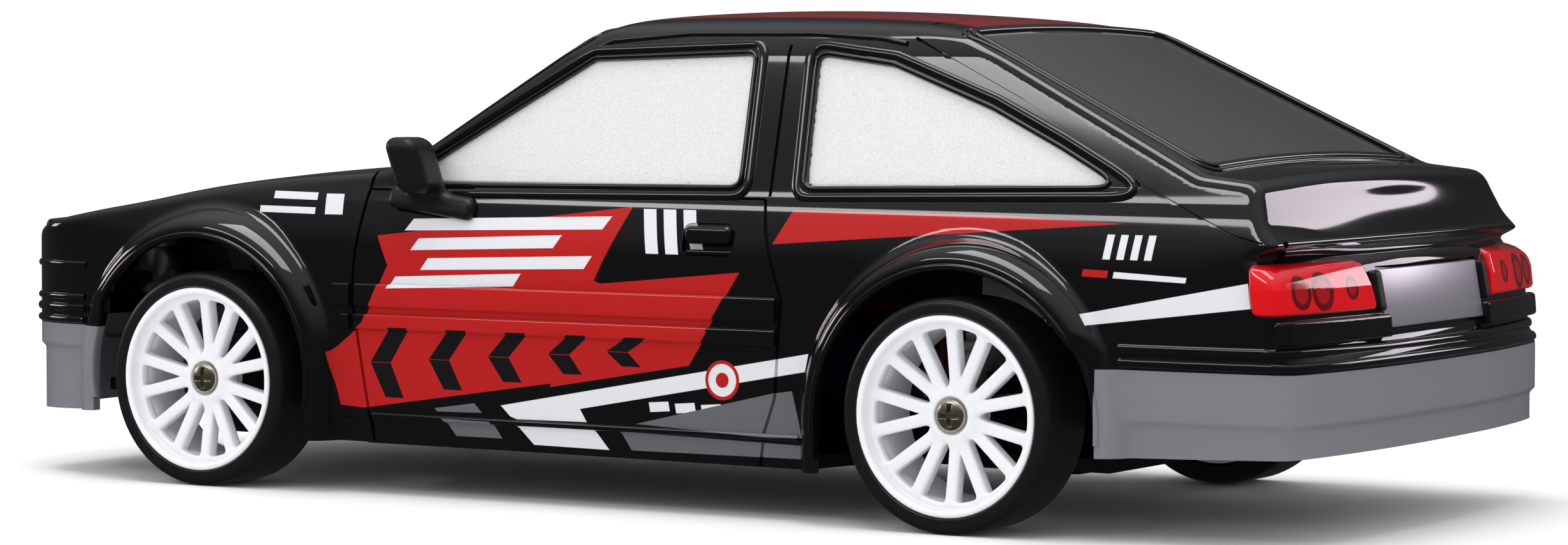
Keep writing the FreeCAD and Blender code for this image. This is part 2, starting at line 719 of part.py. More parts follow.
def servo_legs():
    leg = box(servo_x - 13.0, servo_x - 10.6, 8.0, 11.0, floor_top - 0.2, servo_low)
    return both_sides(leg)


servo_low = axle_z + 2.2
servo_high = servo_low + 9.5
servo_length = 16.0
servo_half_width = 11.0


def board_posts():
    places = [(board_x0 + 2.0, -15.5), (board_x0 + board_length - 2.0, -15.5), (board_x0 + 2.0, -4.8),
              (board_x0 + board_length - 2.0, -4.8)]
    return [rod_z(floor_top - 0.2, board_z, x, y, 1.0) for x, y in places]


def make_chassis():
    housings = [gearbox_half(x, 0, axle_z) for x in (rear_x, front_x)]
    stands = [box(rear_x - 3.0, rear_x + 3.0, side * 14 - 2.0, side * 14 + 2.0, floor_top - 0.2, axle_z)
              for side in (-1, 1)]
    ears = [rod_z(floor_top - 0.2, axle_z, x, y, ear_radius) for x, y in ear_places()]
    solids = floor_plates() + housings + stands + ears + shaft_bearings() + lower_arms() + cradle_walls()
    solids += servo_legs() + board_posts() + [spur_pocket()]
    tray = cut(fuse(solids), tray_rooms() + tray_holes())
    save(max(tray.Solids, key=lambda s: s.Volume), "chassis_tray")


def tray_rooms():
    """What turns or lies in the tray."""
    rooms = [r for x in (rear_x, front_x) for r in gearbox_room(x)] + axle_rooms()
    rooms.append(rod_x(rear_x + 4, front_x - 4, 0, axle_z, shaft_radius + running_gap))
    rooms.append(rod_x(spur_x - 0.6, spur_x + spur_face + 0.6, 0, axle_z, spur_outer + body_gap))
    rooms.append(box(cover_x0, cover_x1, cell_y - 6.0, cell_y + 6.0, floor_z - 1, floor_top + 0.1))
    return rooms


def tray_holes():
    holes = [rod_z(low - 1, low + 3, x, s * y, 1.1) for x, y, low in post_places for s in (-1, 1)]
    holes += both_sides(rod_z(knuckle_low - 4, knuckle_low + 1, front_x, kingpin_y, kingpin_radius))
    holes += [rod_z(axle_z - 4.5, axle_z + 1, x, y, small_screw_radius) for x, y in ear_places()]
    holes.append(rod_z(floor_z - 1, floor_top + 1, cover_screw_x, cell_y, small_screw_radius))
    holes.append(rod_z(floor_z - 1, floor_top + 1, socket_x, socket_y, 3.0))
    holes.append(box(switch_x - 1.2, switch_x + 1.2 + switch_travel, switch_y - 1.2, switch_y + 1.2,
                     floor_z - 1, floor_top + 1))
    return holes


cover_screw_x = cover_x1 + 3.0
spur_outer = spur_pitch + 0.85 * gear_module
small_screw_radius = 0.7
ear_radius = 1.9
ear_height = 2.5


def spur_pocket():
    """Bump in the floor under the spur gear."""
    bump = rod_x(spur_x - 1.4, spur_x + spur_face + 1.4, 0, axle_z, spur_outer + body_gap + 0.8)
    return bump.common(box(spur_x - 5, spur_x + 10, -20, 20, 0, floor_top))


def ear_places():
    """Screw lugs at the four corners of each gear housing."""
    reach = gearbox_outer + 1.3
    return [(x + sx * reach, sy * 5.9) for x in (rear_x, front_x) for sx in (-1, 1) for sy in (-1, 1)]


def gearbox_cover(x):
    """Upper half of a gear housing, with its four screw lugs."""
    near = [place for place in ear_places() if abs(place[0] - x) < 2 * gearbox_outer]
    ears = [rod_z(axle_z, axle_z + ear_height, ex, ey, ear_radius) for ex, ey in near]
    return [gearbox_half(x, axle_z, axle_z + 20)] + ears


def ear_holes():
    return [rod_z(axle_z - 1, axle_z + 5, x, y, small_screw_radius) for x, y in ear_places()]


def make_gearbox_covers():
    rear = cut(fuse(gearbox_cover(rear_x)), gearbox_room(rear_x) + axle_rooms() + ear_holes())
    save(rear, "gearbox_cover_rear")
    z0 = knuckle_high + body_gap
    reach = kingpin_y + 1.8
    arm = box(front_x - arm_half_width, front_x + arm_half_width, -reach, reach, z0, z0 + arm_plate)
    holes = both_sides(rod_z(z0 - 1, z0 + 4, front_x, kingpin_y, kingpin_radius))
    rooms = gearbox_room(front_x) + axle_rooms() + ear_holes()
    front = cut(fuse(gearbox_cover(front_x) + [arm]), rooms + holes)
    save(front, "gearbox_cover_front")


# ---- Electrics -------------------------------------------------------------------------------------
def make_electrics():
    cell = rod_x(cell_x0, cell_x0 + cell_length - 0.8, cell_y, cell_z, cell_radius)
    tip = rod_x(cell_x0 + cell_length - 0.8, cell_x0 + cell_length, cell_y, cell_z, 2.4)
    save(cell.fuse(tip), "battery")
    cover = box(cover_x0 + 0.1, cover_x1 - 0.1, cell_y - 5.9, cell_y + 5.9, floor_z, floor_top)
    tongue = box(cover_x1 - 2.0, cover_screw_x + 2.2, cell_y - 2.4, cell_y + 2.4, floor_z - 0.6, floor_z)
    screw_hole = rod_z(0, floor_top + 1, cover_screw_x, cell_y, small_screw_radius)
    save(cut(cover.fuse(tongue).removeSplitter(), [screw_hole]), "battery_cover")
    save(battery_contacts(), "battery_contacts")
    can = box(motor_x, motor_x + motor_length, motor_y - motor_width / 2, motor_y + motor_width / 2,
              motor_z - motor_height / 2, motor_z + motor_height / 2)
    shaft_room = rod_x(motor_x - 1, motor_x + 3, motor_y, motor_z, motor_shaft_radius + running_gap)
    save(cut(can, [shaft_room]), "motor")
    save_board()
    save_servo()
    save_socket_and_switch()
    save(body_screws(), "body_screws")
    save(small_screws(), "small_screws")
    save(wires(), "wires")


def battery_contacts():
    """Sprung plates at both ends of the cell."""
    x0 = cell_x0 - 0.3
    x1 = cell_x0 + cell_length
    plates = [box(x, x + 0.3, cell_y - 3.0, cell_y + 3.0, floor_top + 0.2, cell_z + 3.0) for x in (x0, x1)]
    return Part.makeCompound(plates)


def pan_screw(x, y, z, length, radius):
    """Screw with its head below z and its shank upwards."""
    return rod_z(z - 0.9, z, x, y, 1.6).fuse(rod_z(z, z + length, x, y, radius)).removeSplitter()


def body_screws():
    screws = [pan_screw(x, y, low, screw_length, post_hole_radius) for x, y, low in post_places]
    return Part.makeCompound(screws + [mirrored(s) for s in screws])


def save_board():
    x0 = board_x0
    board = box(x0, x0 + board_length, -17.5, -2.8, board_z, board_z + 1.2)
    chips = [box(x0 + 3, x0 + 9, -15, -9, board_z + 1.2, board_z + 2.4),
             box(x0 + 12, x0 + 16, -15.5, -12, board_z + 1.2, board_z + 4.2),
             rod_z(board_z + 1.2, board_z + 6.0, x0 + 13.5, -7.5, 2.0)]
    save(fuse([board] + chips), "control_board")


def save_servo():
    x1 = servo_x + 4.0
    case = box(x1 - servo_length, x1, -servo_half_width, servo_half_width, servo_low, servo_high)
    collar = rod_z(servo_high, servo_high + 0.8, servo_x, 0, 2.6)
    spindle_room = rod_z(servo_high - 2.0, servo_high + 2, servo_x, 0, 1.4 + running_gap)
    save(cut(case.fuse(collar).removeSplitter(), [spindle_room]), "steering_servo")
    arm_z = servo_high + 0.8 + body_gap
    arm = box(servo_x - 1.6, bar_x + 1.2, -1.3, 1.3, arm_z, arm_z + 1.2)
    boss = rod_z(arm_z, arm_z + 1.8, servo_x, 0, 2.4)
    spindle = rod_z(servo_high - 1.8, arm_z + 0.2, servo_x, 0, 1.4)
    pin = rod_z(bar_z + 0.1, arm_z + 0.2, bar_x, 0, 0.75)
    save(fuse([arm, boss, spindle, pin]), "servo_arm")


def save_socket_and_switch():
    block = box(socket_x - 3.6, socket_x + 3.6, socket_y - 3.6, socket_y + 3.6,
                floor_top, floor_top + socket_depth)
    nose = rod_z(floor_z, floor_top + 0.5, socket_x, socket_y, 3.0)
    bore = rod_z(floor_z - 1, floor_z + socket_depth, socket_x, socket_y, socket_bore)
    save(cut(block.fuse(nose).removeSplitter(), [bore]), "charge_socket")
    case = box(switch_x - 4.5, switch_x + 4.5, switch_y - 2.6, switch_y + 2.6, floor_top, floor_top + 4.0)
    window = box(switch_x - 1.2, switch_x + 1.2 + switch_travel, switch_y - 1.1, switch_y + 1.1,
                 floor_top - 1, floor_top + 1.6)
    save(cut(case, [window]), "power_switch")
    knob = box(switch_x - 1.0, switch_x + 1.0, switch_y - 0.9, switch_y + 0.9, floor_z - 0.8, floor_top + 1.4)
    save(knob, "switch_slider")


def lead(points, radius):
    """Held wire through the points, with a ball at each turn."""
    shapes = []
    for a, b in zip(points, points[1:]):
        shapes.append(Part.makeCylinder(radius, (b - a).Length, a, b - a))
    shapes += [Part.makeSphere(radius, p) for p in points[1:-1]]
    return fuse(shapes)


def wires():
    """Held leads: two from the motor and two from the cell's contacts, all to the board."""
    radius = 0.55
    board_top = board_z + 1.2
    runs = []
    for y in (motor_y - 2.0, motor_y + 2.0):
        z = board_top + radius
        runs.append(lead([Vector(motor_x + motor_length, y, z), Vector(board_x0 + 2.6, y, z)], radius))
    front = cell_x0 + cell_length + 0.3 + radius
    over = axle_z + 3.6
    pad_x = board_x0 + board_length - 2.0
    runs.append(lead([Vector(front, cell_y - 1.0, over), Vector(front, -6.5, over), Vector(pad_x, -6.5, over),
                      Vector(pad_x, -6.5, board_top)], radius))
    back = cell_x0 - 0.3 - radius
    top = cell_z + cell_radius + radius + 0.2
    pad_x = board_x0 + 10.0
    runs.append(lead([Vector(back, cell_y, cell_z), Vector(back, cell_y, top), Vector(pad_x, cell_y, top),
                      Vector(pad_x, -4.2, top), Vector(pad_x, -4.2, board_top)], radius))
    return Part.makeCompound(runs)


def small_screws():
    """Self-tapping screws of the two gear housings and the battery cover."""
    screws = [pan_screw(cover_screw_x, cell_y, floor_z - 0.6, 2.1, small_screw_radius)]
    for x, y in ear_places():
        top = axle_z + ear_height
        shank = rod_z(axle_z - 4.0, top, x, y, small_screw_radius)
        screws.append(shank.fuse(rod_z(top, top + 0.9, x, y, 1.4)).removeSplitter())
    return Part.makeCompound(screws)


def main():
    os.makedirs("parts", exist_ok=True)
    make_body()
    make_mirror()
    make_wheels()
    save(stub_axle(), "stub_axle_left")
    save(mirrored(stub_axle()), "stub_axle_right")
    save(knuckle(), "knuckle_left")
    save(mirrored(knuckle()), "knuckle_right")
    save(kingpins(), "kingpins")
    save(dogbone(), "dogbone_left")
    save(mirrored(dogbone()), "dogbone_right")
    save(tie_bar(), "tie_bar")
    make_drive_line()
    make_chassis()
    make_gearbox_covers()
    make_electrics()


main()
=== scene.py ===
import json
import math

import bpy
import numpy as np
from mathutils import Matrix, Vector


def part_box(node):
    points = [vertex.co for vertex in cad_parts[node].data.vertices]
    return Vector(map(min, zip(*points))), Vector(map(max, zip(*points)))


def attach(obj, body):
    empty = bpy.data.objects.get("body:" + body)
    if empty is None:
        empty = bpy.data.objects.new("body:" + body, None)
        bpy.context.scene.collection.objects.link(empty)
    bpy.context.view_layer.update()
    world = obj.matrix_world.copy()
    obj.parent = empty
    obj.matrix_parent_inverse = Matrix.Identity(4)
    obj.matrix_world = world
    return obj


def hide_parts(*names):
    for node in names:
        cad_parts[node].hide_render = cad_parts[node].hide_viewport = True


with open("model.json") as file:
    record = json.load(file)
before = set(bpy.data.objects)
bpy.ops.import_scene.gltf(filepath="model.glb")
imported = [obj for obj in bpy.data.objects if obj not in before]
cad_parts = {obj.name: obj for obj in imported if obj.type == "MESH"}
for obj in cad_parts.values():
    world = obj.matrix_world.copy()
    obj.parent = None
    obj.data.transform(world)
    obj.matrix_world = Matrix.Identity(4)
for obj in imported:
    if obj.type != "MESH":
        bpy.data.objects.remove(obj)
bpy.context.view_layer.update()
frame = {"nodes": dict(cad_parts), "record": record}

# The looks of a small radio-controlled drift car. Outlines are in millimetres, as station
# (distance ahead of the rear axle), y and z; place() moves them into the frame, in metres.
MM = 0.001


def middle(node):
    low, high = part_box(node)
    return (low + high) / 2 / MM


shell_low, shell_high = (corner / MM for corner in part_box("body_shell"))
rear_hub = middle("rim_rear_left")
front_hub = middle("rim_front_left")
wheelbase = front_hub.x - rear_hub.x
ROOF_Z = shell_high.z
BELT_Z = ROOF_Z - 21.1
FLARE_Y = shell_high.y
HALF = FLARE_Y - 2.3           # half width of the plain body side
TAIL = shell_low.x - rear_hub.x
NOSE = shell_high.x - rear_hub.x
WALL = 1.2                     # thickness of the moulded shell


def place(points):
    """Station, y, z in millimetres to frame metres."""
    return (np.asarray(points, float) + (rear_hub.x, 0, 0)) * MM


def up(share):
    """Height as a share of the way from the belt line to the roof."""
    return BELT_Z + share * (ROOF_Z - BELT_Z)


# ---- Small mathematics ----
def ramp(t):
    t = np.clip(t, 0, 1)
    return t * t * (3 - 2 * t)


def hump(t):
    return np.clip(1 - np.square(t), 0, 1) ** 2


def soft_max(a, b, k):
    h = np.clip(1 - np.abs(a - b) / k, 0, 1)
    return np.maximum(a, b) + h * h * k / 4


def soft_min(a, b, k):
    return -soft_max(-a, -b, k)


def curve(points, per=6):
    """Catmull-Rom points along a smooth stretch of outline."""
    p = np.array([points[0], *points, points[-1]], float)
    made = []
    for i in range(1, len(p) - 2):
        for t in np.arange(per) / per:
            bend = 2 * p[i - 1] - 5 * p[i] + 4 * p[i + 1] - p[i + 2]
            twist = 3 * p[i] - p[i - 1] - 3 * p[i + 1] + p[i + 2]
            made.append(p[i] + 0.5 * ((p[i + 1] - p[i - 1]) * t + bend * t ** 2 + twist * t ** 3))
    return [tuple(q) for q in made] + [tuple(p[-2])]


def resample(points, step, closed=False):
    """Evenly spaced points along a polyline."""
    p = np.array(list(points) + ([points[0]] if closed else []), float)
    length = np.concatenate([[0], np.cumsum(np.linalg.norm(np.diff(p, axis=0), axis=1))])
    count = max(2, int(round(length[-1] / step)) + 1)
    at = np.linspace(0, length[-1], count)
    if closed:
        at = at[:-1]
    return np.stack([np.interp(at, length, p[:, k]) for k in range(p.shape[1])], axis=1)


def rounded(points, radius, steps=5):
    """A closed outline with its corners turned into arcs."""
    made = []
    n = len(points)
    for i in range(n):
        here = np.array(points[i], float)
        back = np.array(points[i - 1], float) - here
        ahead = np.array(points[(i + 1) % n], float) - here
        lb, la = np.linalg.norm(back), np.linalg.norm(ahead)
        half = math.acos(np.clip(back @ ahead / (lb * la), -1, 1)) / 2
        cut = min(radius / math.tan(half), 0.45 * lb, 0.45 * la)
        a, b = here + back / lb * cut, here + ahead / la * cut
        for t in np.linspace(0, 1, steps + 1):
            made.append(tuple((1 - t) ** 2 * a + 2 * t * (1 - t) * here + t * t * b))
    return made


def turn_of(outline):
    """1 for an outline that runs anticlockwise, and -1 for a clockwise one."""
    a, b = np.array(outline, float).T
    return 1 if np.sum(a * np.roll(b, -1) - np.roll(a, -1) * b) > 0 else -1


def grow(points, by):
    """A closed outline moved outwards by a distance, corner by corner."""
    p = np.array(points, float)
    turn = turn_of(p)
    made = []
    for i in range(len(p)):
        e0 = p[i] - p[i - 1]
        e1 = p[(i + 1) % len(p)] - p[i]
        n0 = turn * np.array([e0[1], -e0[0]]) / np.linalg.norm(e0)
        n1 = turn * np.array([e1[1], -e1[0]]) / np.linalg.norm(e1)
        made.append(tuple(p[i] + by * (n0 + n1) / (1 + n0 @ n1)))
    return made


class Outline:
    """A closed outline as a smooth signed distance, below zero inside. Corners are eased by soften."""

    def __init__(self, points, soften, step=0.25, margin=4.0):
        p = np.array(points, float)
        p = p[np.linalg.norm(p - np.roll(p, -1, 0), axis=1) > 1e-6]
        self.step = step
        self.low = p.min(0) - margin
        count = np.ceil((p.max(0) + margin - self.low) / step).astype(int) + 1
        a = self.low[0] + step * np.arange(count[0])[:, None]
        b = self.low[1] + step * np.arange(count[1])[None, :]
        nearest = np.full(tuple(count), 1e9)
        inside = np.zeros(tuple(count), bool)
        for (a0, b0), (a1, b1) in zip(p, np.roll(p, -1, 0)):
            da, db = a1 - a0, b1 - b0
            t = np.clip(((a - a0) * da + (b - b0) * db) / (da * da + db * db), 0, 1)
            nearest = np.minimum(nearest, (a - a0 - t * da) ** 2 + (b - b0 - t * db) ** 2)
            if db != 0:
                inside ^= ((b0 > b) != (b1 > b)) & (a < a0 + (b - b0) * da / db)
        grid = np.sqrt(nearest) * np.where(inside, -1, 1)
        reach = max(1, int(math.ceil(3 * soften / step)))
        weights = np.exp(-0.5 * (np.arange(-reach, reach + 1) * step / soften) ** 2)
        weights /= weights.sum()
        for axis in (0, 1):
            pad = [(reach, reach) if k == axis else (0, 0) for k in (0, 1)]
            wide = np.pad(grid, pad, mode="edge")
            size = grid.shape[axis]
            grid = sum(w * np.take(wide, np.arange(i, i + size), axis) for i, w in enumerate(weights))
        self.grid = grid

    def __call__(self, a, b):
        """The distance at a, b, which broadcast, as a cubic B-spline of the grid."""
        s = np.clip((a - self.low[0]) / self.step, 1, self.grid.shape[0] - 3)
        t = np.clip((b - self.low[1]) / self.step, 1, self.grid.shape[1] - 3)
        i, j = s.astype(int), t.astype(int)
        total = 0
        for m, wm in enumerate(spline_weights(s - i)):
            for n, wn in enumerate(spline_weights(t - j)):
                total = total + wm * wn * self.grid[i + m - 1, j + n - 1]
        return total


def spline_weights(f):
    return ((1 - f) ** 3 / 6, (3 * f ** 3 - 6 * f ** 2 + 4) / 6,
            (-3 * f ** 3 + 3 * f ** 2 + 3 * f + 1) / 6, f ** 3 / 6)


# ---- The body's shape ----
BELOW = -14.0                  # outlines run on below the open bottom of the shell
REAR_ARCH = (-0.4, 11.5, 16.5)
FRONT_ARCH = (wheelbase + 0.6, 12.9, 16.2)
FLARE_BAND = 2.7
CROWN = 1.3
TAIL_CROWN = 3.2               # how far the tail below its lid curves forward at the corners
LAMP_LOW, LAMP_INNER, LAMP_FRONT = 24.0, 15.6, -34.2
REAR_BUMPER = (-12.5, 12.9)    # station of a bumper's end and height of its lower step
FRONT_BUMPER = (114.0, 15.6)
ARCH_FOOT = 21.8               # the flares grow slimmer below this height
PLATE_HALF = 13.4

DOOR_WINDOW = [(51.6, up(0.735)), (30.4, up(0.77)), (29.1, up(0.075)), (70.4, up(0.055)), (72.0, up(0.15))]
QUARTER_WINDOW = [(22.4, up(0.77)), (12.6, up(0.71)), (-0.6, up(0.49)), (-9.5, up(0.30)),
                  (-17.6, up(0.11)), (20.9, up(0.075))]
WINDSCREEN = [(74.0, 27.4), (53.5, 22.8), (53.5, -22.8), (74.0, -27.4)]
HATCH_GLASS = [(4.8, 22.4), (-25.0, 25.6), (-25.0, -25.6), (4.8, -22.4)]

side_shape = Outline(
    [(TAIL, BELOW), (TAIL, 19.4), (-41.0, 20.2), (-40.2, 20.8), (-39.9, 24.0), (-38.9, 29.2),
     (-37.3, 30.3), (-36.4, 31.0), (-33.9, 37.4), (-32.6, 38.4), (-26.5, up(0.22)), (4.0, up(0.895))]
    + curve([(6.0, up(0.915)), (12.0, up(0.955)), (24.0, up(0.99)), (33.0, up(1.0)), (43.0, up(0.99)),
             (50.5, up(0.955)), (54.5, up(0.845))], 5)
    + [(75.0, up(0.215))]
    + curve([(79.5, up(0.16)), (99.0, 36.2), (116.0, 33.1), (127.0, 30.2), (131.4, 28.9)], 5)
    + [(132.6, 27.6), (133.1, 21.6), (NOSE, 20.6), (NOSE, BELOW)], 0.45)

half_plan = (curve([(TAIL, 0.42 * HALF), (-40.6, 0.72 * HALF), (-39.3, 0.89 * HALF)], 4)
             + [(-38.4, 0.945 * HALF), (-36.8, 0.968 * HALF), (-26.0, HALF)]
             + curve([(113.0, HALF), (122.0, 0.97 * HALF), (127.5, 0.915 * HALF), (130.8, 0.80 * HALF),
                      (NOSE, 0.42 * HALF)], 4))
plan_shape = Outline(half_plan + [(u, -y) for u, y in reversed(half_plan)], 0.35)

half_section = ([(HALF - 0.5, BELOW), (HALF - 0.2, 9.0)]
                + curve([(HALF, 13.0), (HALF, 22.0), (HALF - 0.9, 28.5), (HALF - 2.7, 33.8)], 4)
                + [(HALF - 3.4, 35.1)]
                + curve([(HALF - 9.2, up(0.77)), (HALF - 11.2, up(0.88)), (HALF - 15.0, up(0.95)),
                         (HALF - 22.0, up(1.0)), (5.0, up(1.03))], 4))
section_shape = Outline(half_section + [(-y, z) for y, z in reversed(half_section)], 0.45)


def arch_distance(u, z, arch):
    """Distance from an arch's centre, with straight legs below the axle."""
    return np.where(z > arch[1], np.hypot(u - arch[0], z - arch[1]), np.abs(u - arch[0]))


def flare(u, away, z, arch, stand):
    """A wheel-arch flare: upright at its lip, rolling over to a ledge where it meets the side."""
    s = np.clip((arch_distance(u, z, arch) - arch[2]) / FLARE_BAND, 0, 4)
    slope = stand * 3 * s ** 2 / FLARE_BAND
    return (away - (HALF + stand - stand * s ** 3)) / np.sqrt(1 + slope ** 2)


def body(u, y, z):
    """Signed distance of the outside of the body, before its openings are cut."""
    away = np.abs(y)
    crown = CROWN * ramp((z - 29.5) / 4) + TAIL_CROWN * ramp((31.2 - z) / 1.6) * ramp((-30 - u) / 3)
    side = side_shape(u, z) + crown * (away / HALF) ** 2
    side = side + 0.35 * hump((z - 34.2) / 3.3) * hump(away / 29.5) * ramp((-30 - u) / 2)
    f = soft_max(soft_max(side, plan_shape(u, y), 1.2), section_shape(y, z), 1.2)
    bumper_end = ramp((REAR_BUMPER[0] - u) / 2) * ramp((REAR_BUMPER[1] - z) / 0.7) * 0.55
    chin_end = ramp((u - FRONT_BUMPER[0]) / 2) * ramp((FRONT_BUMPER[1] - z) / 0.7) * 0.5
    sill = ramp((u - 17) / 2) * ramp((84 - u) / 2) * ramp((9.0 - z) / 0.5) * 0.35
    f = f + bumper_end + chin_end + sill
    for arch, outward in ((REAR_ARCH, -1), (FRONT_ARCH, 1)):
        leg = ramp((ARCH_FOOT - z) / 3.0) * ramp(outward * (u - arch[0]) / 4)
        lip = flare(u, away, z, arch, (FLARE_Y - HALF) * (1 - 0.55 * leg))
        f = soft_min(f, soft_max(lip, np.abs(u - arch[0]) - 22, 0.5), 0.7)
    return soft_min(f, headlamp_pod(u, away, z), 0.8)


def headlamp_pod(u, away, z):
    """The low raised lid of a flush headlamp near each front corner of the bonnet."""
    top = z - (31.0 - 0.10 * (u - 124.0))
    return soft_max(soft_max(top, np.abs(u - 127.6) - 4.6, 0.6), np.abs(away - 18.6) - 7.6, 0.6)


def slope_of(field, p, reach=0.05):
    """Unit gradient of a field at points."""
    g = np.stack([field(*(p + d).T) - field(*(p - d).T) for d in np.eye(3) * reach], axis=1)
    return g / np.maximum(np.linalg.norm(g, axis=1, keepdims=True), 1e-9)


def settle(field, p, rounds=3):
    """Moves points onto a field's surface."""
    for _ in range(rounds):
        n = slope_of(field, p)
        here = field(*p.T)
        ahead = field(*(p + 0.05 * n).T)
        rate = np.clip((ahead - here) / 0.05, 0.3, 3)
        p = p - n * (here / rate)[:, None]
    return p


def cast(start, direction, reach=60.0):
    """First point of the body along rays that come in from outside, and its normal."""
    direction = np.asarray(direction, float)
    at = np.zeros(len(start))
    done = np.zeros(len(start), bool)
    for step in np.arange(0, reach, 0.4):
        p = start + direction * step
        inside = body(*p.T) < 0
        at[inside & ~done] = step
        done |= inside
    low, high = at - 0.4, at.copy()
    for _ in range(14):
        mid = (low + high) / 2
        inside = body(*(start + direction * mid[:, None]).T) < 0
        high = np.where(inside, mid, high)
        low = np.where(inside, low, mid)
    p = start + direction * high[:, None]
    return p, slope_of(body, p)


def laid(points, step, closed, axis, far):
    """Evenly spaced points of a flat outline carried onto the body along an axis, and their normals."""
    start = np.insert(resample(points, step, closed), axis, far, axis=1)
    return cast(start, -np.eye(3)[axis])


def on_side(points, step=0.8, closed=False):
    """Station-height points on the left side."""
    return laid(points, step, closed, 1, 48.0)


def on_top(points, step=0.8, closed=False):
    """Station-y points on the top."""
    return laid(points, step, closed, 2, 62.0)


def around(z, centre, first, last, count=160):
    """A level line round one end of the body, from one bearing to another, in degrees."""
    bearing = np.radians(np.linspace(first, last, count))
    direction = np.stack([np.cos(bearing), np.sin(bearing), np.zeros(count)], axis=1)
    start = np.array([centre, 0.0, z]) + direction * 60
    return cast(start, -direction)


# ---- Meshes ----
def mesh_of(name, points, faces, index=0):
    """A mesh datablock from an array of points and faces that are all the same length."""
    faces = np.asarray(faces, np.int32)
    mesh = bpy.data.meshes.new(name)
    mesh.vertices.add(len(points))
    mesh.vertices.foreach_set("co", np.asarray(points, np.float32).ravel())
    mesh.loops.add(faces.size)
    mesh.loops.foreach_set("vertex_index", faces.ravel())
    mesh.polygons.add(len(faces))
    mesh.polygons.foreach_set("loop_start", np.arange(0, faces.size, faces.shape[1], dtype=np.int32))
    mesh.polygons.foreach_set("material_index", np.full(len(faces), index, np.int32))
    mesh.update(calc_edges=True)
    return mesh


def read(items, key, width=1, kind=np.int32):
    """One attribute of a mesh's vertices, faces or loops, a row each."""
    values = np.zeros(len(items) * width, kind)
    items.foreach_get(key, values)
    return values.reshape(-1, width) if width > 1 else values


def arrays(mesh):
    """Points and triangles of a mesh."""
    mesh.calc_loop_triangles()
    points = read(mesh.vertices, "co", 3, np.float32).astype(float)
    return points, read(mesh.loop_triangles, "vertices", 3)


def new_object(name, data):
    made = bpy.data.objects.new(name, data)
    bpy.context.scene.collection.objects.link(made)
    return made


def modified(mesh, kind, **settings):
    """The mesh after one modifier."""
    holder = new_object("work", mesh)
    modifier = holder.modifiers.new(kind.title(), kind)
    for key, value in settings.items():
        setattr(modifier, key, value)
    graph = bpy.context.evaluated_depsgraph_get()
    made = bpy.data.meshes.new_from_object(holder.evaluated_get(graph))
    bpy.data.objects.remove(holder)
    return made


def skin(field, low, high, step):
    """Quads on a field's zero surface, by surface nets."""
    axes = [np.arange(a, b + step, step) for a, b in zip(low, high)]
    value = field(axes[0][:, None, None], axes[1][None, :, None], axes[2][None, None, :])
    value = np.broadcast_to(value, [len(a) for a in axes]).astype(np.float32)
    inside = value < 0
    count = np.zeros([n - 1 for n in value.shape], np.int8)
    corners = [(i, j, k) for i in (0, 1) for j in (0, 1) for k in (0, 1)]
    for i, j, k in corners:
        count += inside[i:i + count.shape[0], j:j + count.shape[1], k:k + count.shape[2]]
    cell = np.argwhere((count > 0) & (count < 8))
    number = np.full(count.shape, -1, np.int32)
    number[tuple(cell.T)] = np.arange(len(cell))
    total, hits = np.zeros((len(cell), 3)), np.zeros(len(cell))
    for a in corners:
        for axis in range(3):
            if a[axis]:
                continue
            b = tuple(1 if k == axis else a[k] for k in range(3))
            va, vb = value[tuple((cell + a).T)], value[tuple((cell + b).T)]
            crosses = (va < 0) != (vb < 0)
            t = np.where(crosses, va / np.where(crosses, va - vb, 1), 0)
            point = cell + a + t[:, None] * np.eye(3)[axis]
            total += point * crosses[:, None]
            hits += crosses
    points = total / hits[:, None] * step + [a[0] for a in axes]
    faces = []
    for axis in range(3):
        b, c = (axis + 1) % 3, (axis + 2) % 3
        first = tuple(slice(0 if k == axis else 1, -1) for k in range(3))
        second = tuple(slice(1, None if k == axis else -1) for k in range(3))
        change = inside[first].astype(np.int8) - inside[second]
        for sign in (1, -1):
            at = np.argwhere(change == sign)
            at[:, b] += 1
            at[:, c] += 1
            ring = []
            for db, dc in ((1, 1), (0, 1), (0, 0), (1, 0)):
                off = np.zeros(3, int)
                off[b], off[c] = db, dc
                ring.append(number[tuple((at - off).T)])
            faces.append(np.stack(ring[::sign], axis=1))
    return points, np.concatenate(faces)


def both_halves(points, faces, tolerance=1e-4):
    """A half model on y >= 0 and its reflection, joined along the centre plane."""
    centre = np.abs(points[:, 1]) < tolerance
    points = points.copy()
    points[centre, 1] = 0
    other = np.where(centre, np.arange(len(points)), 0)
    other[~centre] = len(points) + np.arange((~centre).sum())
    twin = points[~centre] * (1, -1, 1)
    return np.concatenate([points, twin]), np.concatenate([faces, other[faces][:, ::-1]])


def half_solid(field, low, high, step, keep):
    """A mirrored closed mesh of a field: netted on one half, thinned, and settled back onto the surface."""
    points, faces = skin(field, (low[0], -step / 2, low[2]), high, step)
    mesh = modified(mesh_of("half", points, faces), "DECIMATE", ratio=keep)
    points, triangles = arrays(mesh)
    edges = np.sort(np.concatenate([triangles[:, [0, 1]], triangles[:, [1, 2]], triangles[:, [2, 0]]]), 1)
    pairs, uses = np.unique(edges, axis=0, return_counts=True)
    rim = np.unique(pairs[uses == 1])
    points = settle(field, points)
    points[rim, 1] = 0
    return both_halves(points, triangles)


